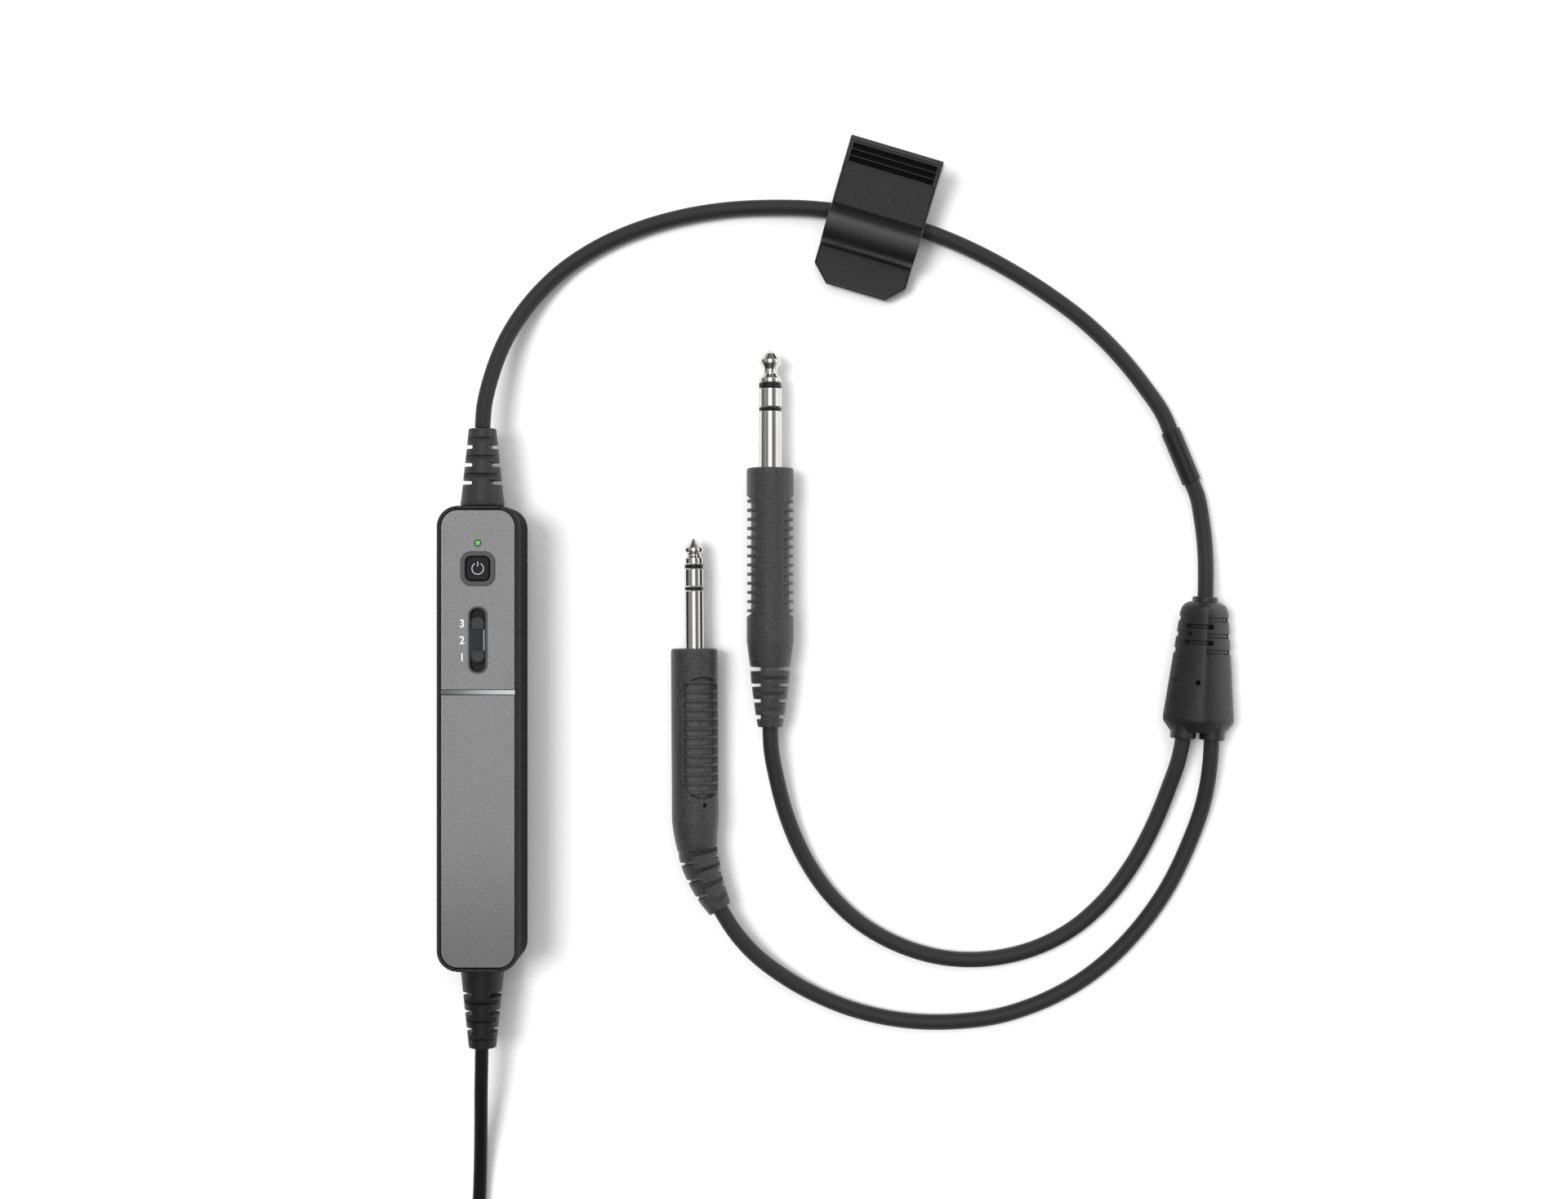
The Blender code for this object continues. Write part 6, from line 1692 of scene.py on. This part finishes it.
@dataclass
class Clip:
    """The clothing clip: two jaws on a hinge pin with a torsion spring, and a trough for the cord.

    Its own frame: u across it along the hinge, v from the finger end to the jaw end, z up. The upper
    jaw's frame is s along it and n square to it, both from the hinge axis.
    """

    origin: tuple[float, float] = (110.35, 156.08)
    turn: float = -16.6
    width: float = 25.6
    chamfer: float = 4.5
    pitch: float = 14.0
    pin: tuple[float, float] = (25.6, 5.2)
    pin_radius: float = 0.85
    span: tuple[float, float] = (-26.8, 12.8)
    levels: tuple[float, float] = (-0.2, 1.6)
    hump: tuple[float, float] = (-2.73, 0.2)
    hump_radius: float = 6.1
    hump_bore: float = 4.6
    rim: float = 0.55
    sunk: float = 0.14
    groove_start: float = 1.75  # from the finger end
    groove_end: float = 6.9
    groove_pitch: float = 1.78
    groove_depth: float = 0.95
    groove_inset: float = 1.2  # from the jaw's sides
    knuckle_radius: float = 1.5
    wire_radius: float = 0.28
    spring_radius: float = 1.3
    spring_half: float = 2.7
    lugs: tuple[float, float] = (6.2, 8.2)
    ears: tuple[float, float] = (9.0, 10.8)

    def frame(self) -> Matrix:
        """Takes the clip's own frame to its place."""
        return shift(*self.origin, 0) @ spin(self.turn, "Z") @ Matrix.Diagonal((1, -1, 1, 1))

    def jaw_frame(self) -> Matrix:
        """Takes the upper jaw's frame to its place."""
        return self.frame() @ shift(0, *self.pin) @ spin(-self.pitch, "X")

    def upper_profile(self, across: float) -> Outline:
        """The upper jaw's section at a place across it.

        Args:
            across: the place, from the jaw's middle.

        Returns:
            Its top from the finger end to the jaw end, and then its underside back.
        """
        half = self.width / 2
        start = self.span[0]
        end = self.span[1] - max(0.0, abs(across) - (half - self.chamfer))
        low, high = self.levels
        inset = half - abs(across)
        on_rim = 1 - smoothstep(self.rim - 0.12, self.rim + 0.12, inset)
        in_groove = smoothstep(self.groove_inset, self.groove_inset + 0.25, inset)
        field_high = high - self.sunk * (1 - on_rim)
        roll = 0.16 * (1 - min(1.0, inset / 0.16))
        points = [(start + roll, 0.55), (start + 0.12 + roll, 1.15), (start + 0.5, 1.55 - roll),
                  (start + 0.95, 1.62 - roll), (start + 1.4, 1.5 - roll)]
        groove_start = start + self.groove_start
        for i in range(3):
            s = groove_start + self.groove_pitch * i
            deep = high - self.groove_depth * in_groove - roll
            points += [(s, high - roll - 0.06 * in_groove), (s + 0.12, deep),
                       (s + 1.28, deep + 0.1 * in_groove), (s + 1.46, high - roll - 0.04 * in_groove)]
        points += [(groove_start + 5.6, high - roll), (groove_start + 5.9, field_high - roll)]
        hump_s, hump_n = self.hump
        rise = math.asin((field_high - roll - hump_n) / self.hump_radius)
        points.append((hump_s - self.hump_radius * math.cos(rise) - 2.0, field_high - roll))
        for step in range(33):
            angle = math.pi - rise - (math.pi - 2 * rise) * step / 32
            reach = self.hump_radius - roll
            points.append((hump_s + reach * math.cos(angle), hump_n + reach * math.sin(angle)))
        # The raised rim at the jaw end, its edge, and back under the hump
        points += [(end - 2.0, field_high - roll), (end - self.rim * 1.5, field_high - roll),
                   (end - self.rim * 1.1, high - roll), (end - 0.3, high - 0.02 - roll),
                   (end - 0.08, high - 0.2 - roll), (end - roll, high - 0.5)]
        points += [(end - roll, low + 0.2 + roll), (end - 0.2 - roll, low + roll)]
        drop = math.asin(min(1.0, (low + roll - hump_n) / self.hump_bore))
        for step in range(33):
            angle = drop + (math.pi - 2 * drop) * step / 32
            reach = self.hump_bore
            points.append((hump_s + reach * math.cos(angle), hump_n + reach * math.sin(angle)))
        points += [(start + 2.5, low + roll), (start + 0.3 + roll, low + roll),
                   (start + roll, low + 0.25 + roll)]
        return points

    def knuckle(self, name: str, inner: float, outer: float, base: float) -> bpy.types.Object:
        """An ear or lug: round at the hinge axis and straight from there to its base."""
        side = 1 if base > 0 else -1
        outline = [(side * self.knuckle_radius, base), (-side * self.knuckle_radius, base)]
        for step in range(17):
            angle = math.pi * step / 16
            outline.append((-side * self.knuckle_radius * math.cos(angle),
                            -side * self.knuckle_radius * math.sin(angle)))
        return loft(name, [[(u, s, n) for s, n in outline] for u in (inner, outer)])

    def build_upper_jaw(self) -> bpy.types.Object:
        """The pitched jaw with its hump, grooves, raised rim and grained fields."""
        half = self.width / 2
        offsets = [0.0, 0.03, 0.09, 0.16, self.rim - 0.12, self.rim - 0.04, self.rim + 0.04, self.rim + 0.12,
                   1.2, 1.3, 1.38, 1.45, 2.5, 3.5, self.chamfer, 7.0, 10.0]
        places = [-half + offset for offset in offsets]
        places += [0.0] + [-place for place in reversed(places)]
        jaw = loft("clip_upper_jaw_moulding", [
            [(u, s, n) for s, n in self.upper_profile(u)] for u in places
        ])
        for side in (-1, 1):
            inner, outer = sorted((side * self.lugs[0], side * self.lugs[1]))
            boolean(jaw, [self.knuckle(f"lug_{side}", inner, outer, 4.7)], "UNION")
        boolean(jaw, [rod("lug_hole", self.pin_radius + 0.15, (-10, 0, 0), (10, 0, 0))])
        shared(jaw, [CLIP, CLIP_FIELD, CLIP_GROOVE_SHADE], self.jaw_part)
        carry(jaw, self.jaw_frame())
        return dress(jaw, None, "clip_jaw", ["clip_upper_jaw"], 40)

    def jaw_part(self, centre: Vector, normal: Vector) -> int:
        """Whether a face of the upper jaw is plain (0), in a grained field (1) or in a groove with painted
        shade (2).
        """
        u, s, n = centre
        inset = self.width / 2 - abs(u)
        from_finger = s - self.span[0]
        in_grooves = inset > self.groove_inset and self.groove_start < from_finger < self.groove_end
        if in_grooves and 0.3 < n < 1.4:
            return 2
        end = self.span[1] - max(0.0, abs(u) - (self.width / 2 - self.chamfer))
        on_top = inset > self.rim + 0.1 and n > 1.2 and normal.z > 0.9
        beside_hump = 7.5 < from_finger and s < end - self.rim * 1.4 and abs(s - self.hump[0]) > 5.8
        return int(on_top and beside_hump)

    def build(self, springs: SpringTree) -> list[bpy.types.Object]:
        """Makes and dresses the whole clip."""
        made = [self.build_upper_jaw()]
        lower = softened("clip_lower_jaw_moulding", "clip_lower_jaw", 0.2)
        made.append(dress(lower, CLIP, nodes=["clip_lower_jaw"]))
        ends = [(side * (self.ears[1] + 0.1), *self.pin) for side in (-1, 1)]
        pin = rod("clip_hinge_pin_steel", self.pin_radius, *ends, 32, 0.15)
        made.append(dress(carry(pin, self.frame()), STEEL, nodes=["clip_hinge_pin"]))
        spring = springs.make(
            "clip_spring_wire", STEEL, turns=7.0, low_radius=self.spring_radius,
            high_radius=self.spring_radius, height=2 * self.spring_half, wire_radius=self.wire_radius,
        )
        carry(spring, self.frame() @ shift(-self.spring_half, *self.pin) @ spin(90, "Y"))
        made.append(dress(spring, STEEL, nodes=["clip_spring"]))
        return made


LARGE_PLUG = Plug(
    "large_plug", (76.48, 71.75), 0.0, 0.0, 3.175,
    [(0.5, 31.5), (1.7, 30.6), (3.0, 28.9), (3.0, 28.0), (1.95, 26.5), (1.95, 25.4), (3.1, 23.9),
     (3.1, 22.95)],
    [(22.75, 21.45), (16.2, 15.35)], (21.25, 16.4), 15.15, 0.0,
)
SMALL_PLUG = Plug(
    "small_plug", (56.12, 23.37), 0.35, 63.0, 2.615,
    [(0.4, 29.4), (2.45, 27.0), (2.56, 26.8), (2.56, 25.9), (1.9, 25.3), (1.9, 25.0), (2.5, 24.1),
     (2.5, 22.75)],
    [(22.55, 21.45), (16.5, 15.55)], (21.25, 16.7), 15.35, 32.0,
)


def main() -> None:
    """Builds the studio and every sub-assembly, in order."""
    logging.basicConfig(level=logging.INFO, format="%(message)s")
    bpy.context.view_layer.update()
    studio = Studio()
    studio.build_camera()
    studio.build_floor()
    studio.build_lights()

    coil = Coil()
    main_cord = Cord("main_cord_jacket", MAIN_ROUTE, 4.2, JACKET, ["main_cord"], "fitting")
    inner_cord = Cord("inner_branch_jacket", [*INNER_ROUTE, *LARGE_PLUG.cord_run()], 4.2, JACKET,
                      ["inner_branch_cord"], "plug")
    outer_cord = Cord("outer_branch_jacket", [*OUTER_ROUTE, *SMALL_PLUG.cord_run()], 4.2, JACKET,
                      ["outer_branch_cord"], "plug")
    headset_cord = Cord(
        "headset_cord_jacket", [*HEADSET_ROUTE, *coil.points(), *TAIL_ROUTE], 3.6, LEAD_JACKET,
        ["headset_cord", "headset_cord_coil", "headset_cord_tail"], "connector", "coiled",
    )
    cords = [(cord, cord.build()) for cord in (main_cord, inner_cord, outer_cord, headset_cord)]

    rows, rings = RepeatTree("row_of_pieces", False), RepeatTree("ring_of_pieces", True)
    springs = SpringTree("wire_spring")
    ControlModule().build(rows, springs)
    boots = ModuleBoots().build(rows)
    splitter = Splitter().build()
    sleeve = MarkerSleeve().build()
    clip = Clip().build(springs)
    connector = Connector().build(rows, rings)
    tie = CoilTie().build()
    large, small = LARGE_PLUG.build(rows), SMALL_PLUG.build(rows)
    for (cord, obj), pieces in zip(cords, (
        [boots["upper_boot"], splitter, sleeve, *clip], large, small,
        [boots["lower_boot"], tie, *connector],
    )):
        cord.declare(obj, pieces)


if __name__ == "__main__":
    main()
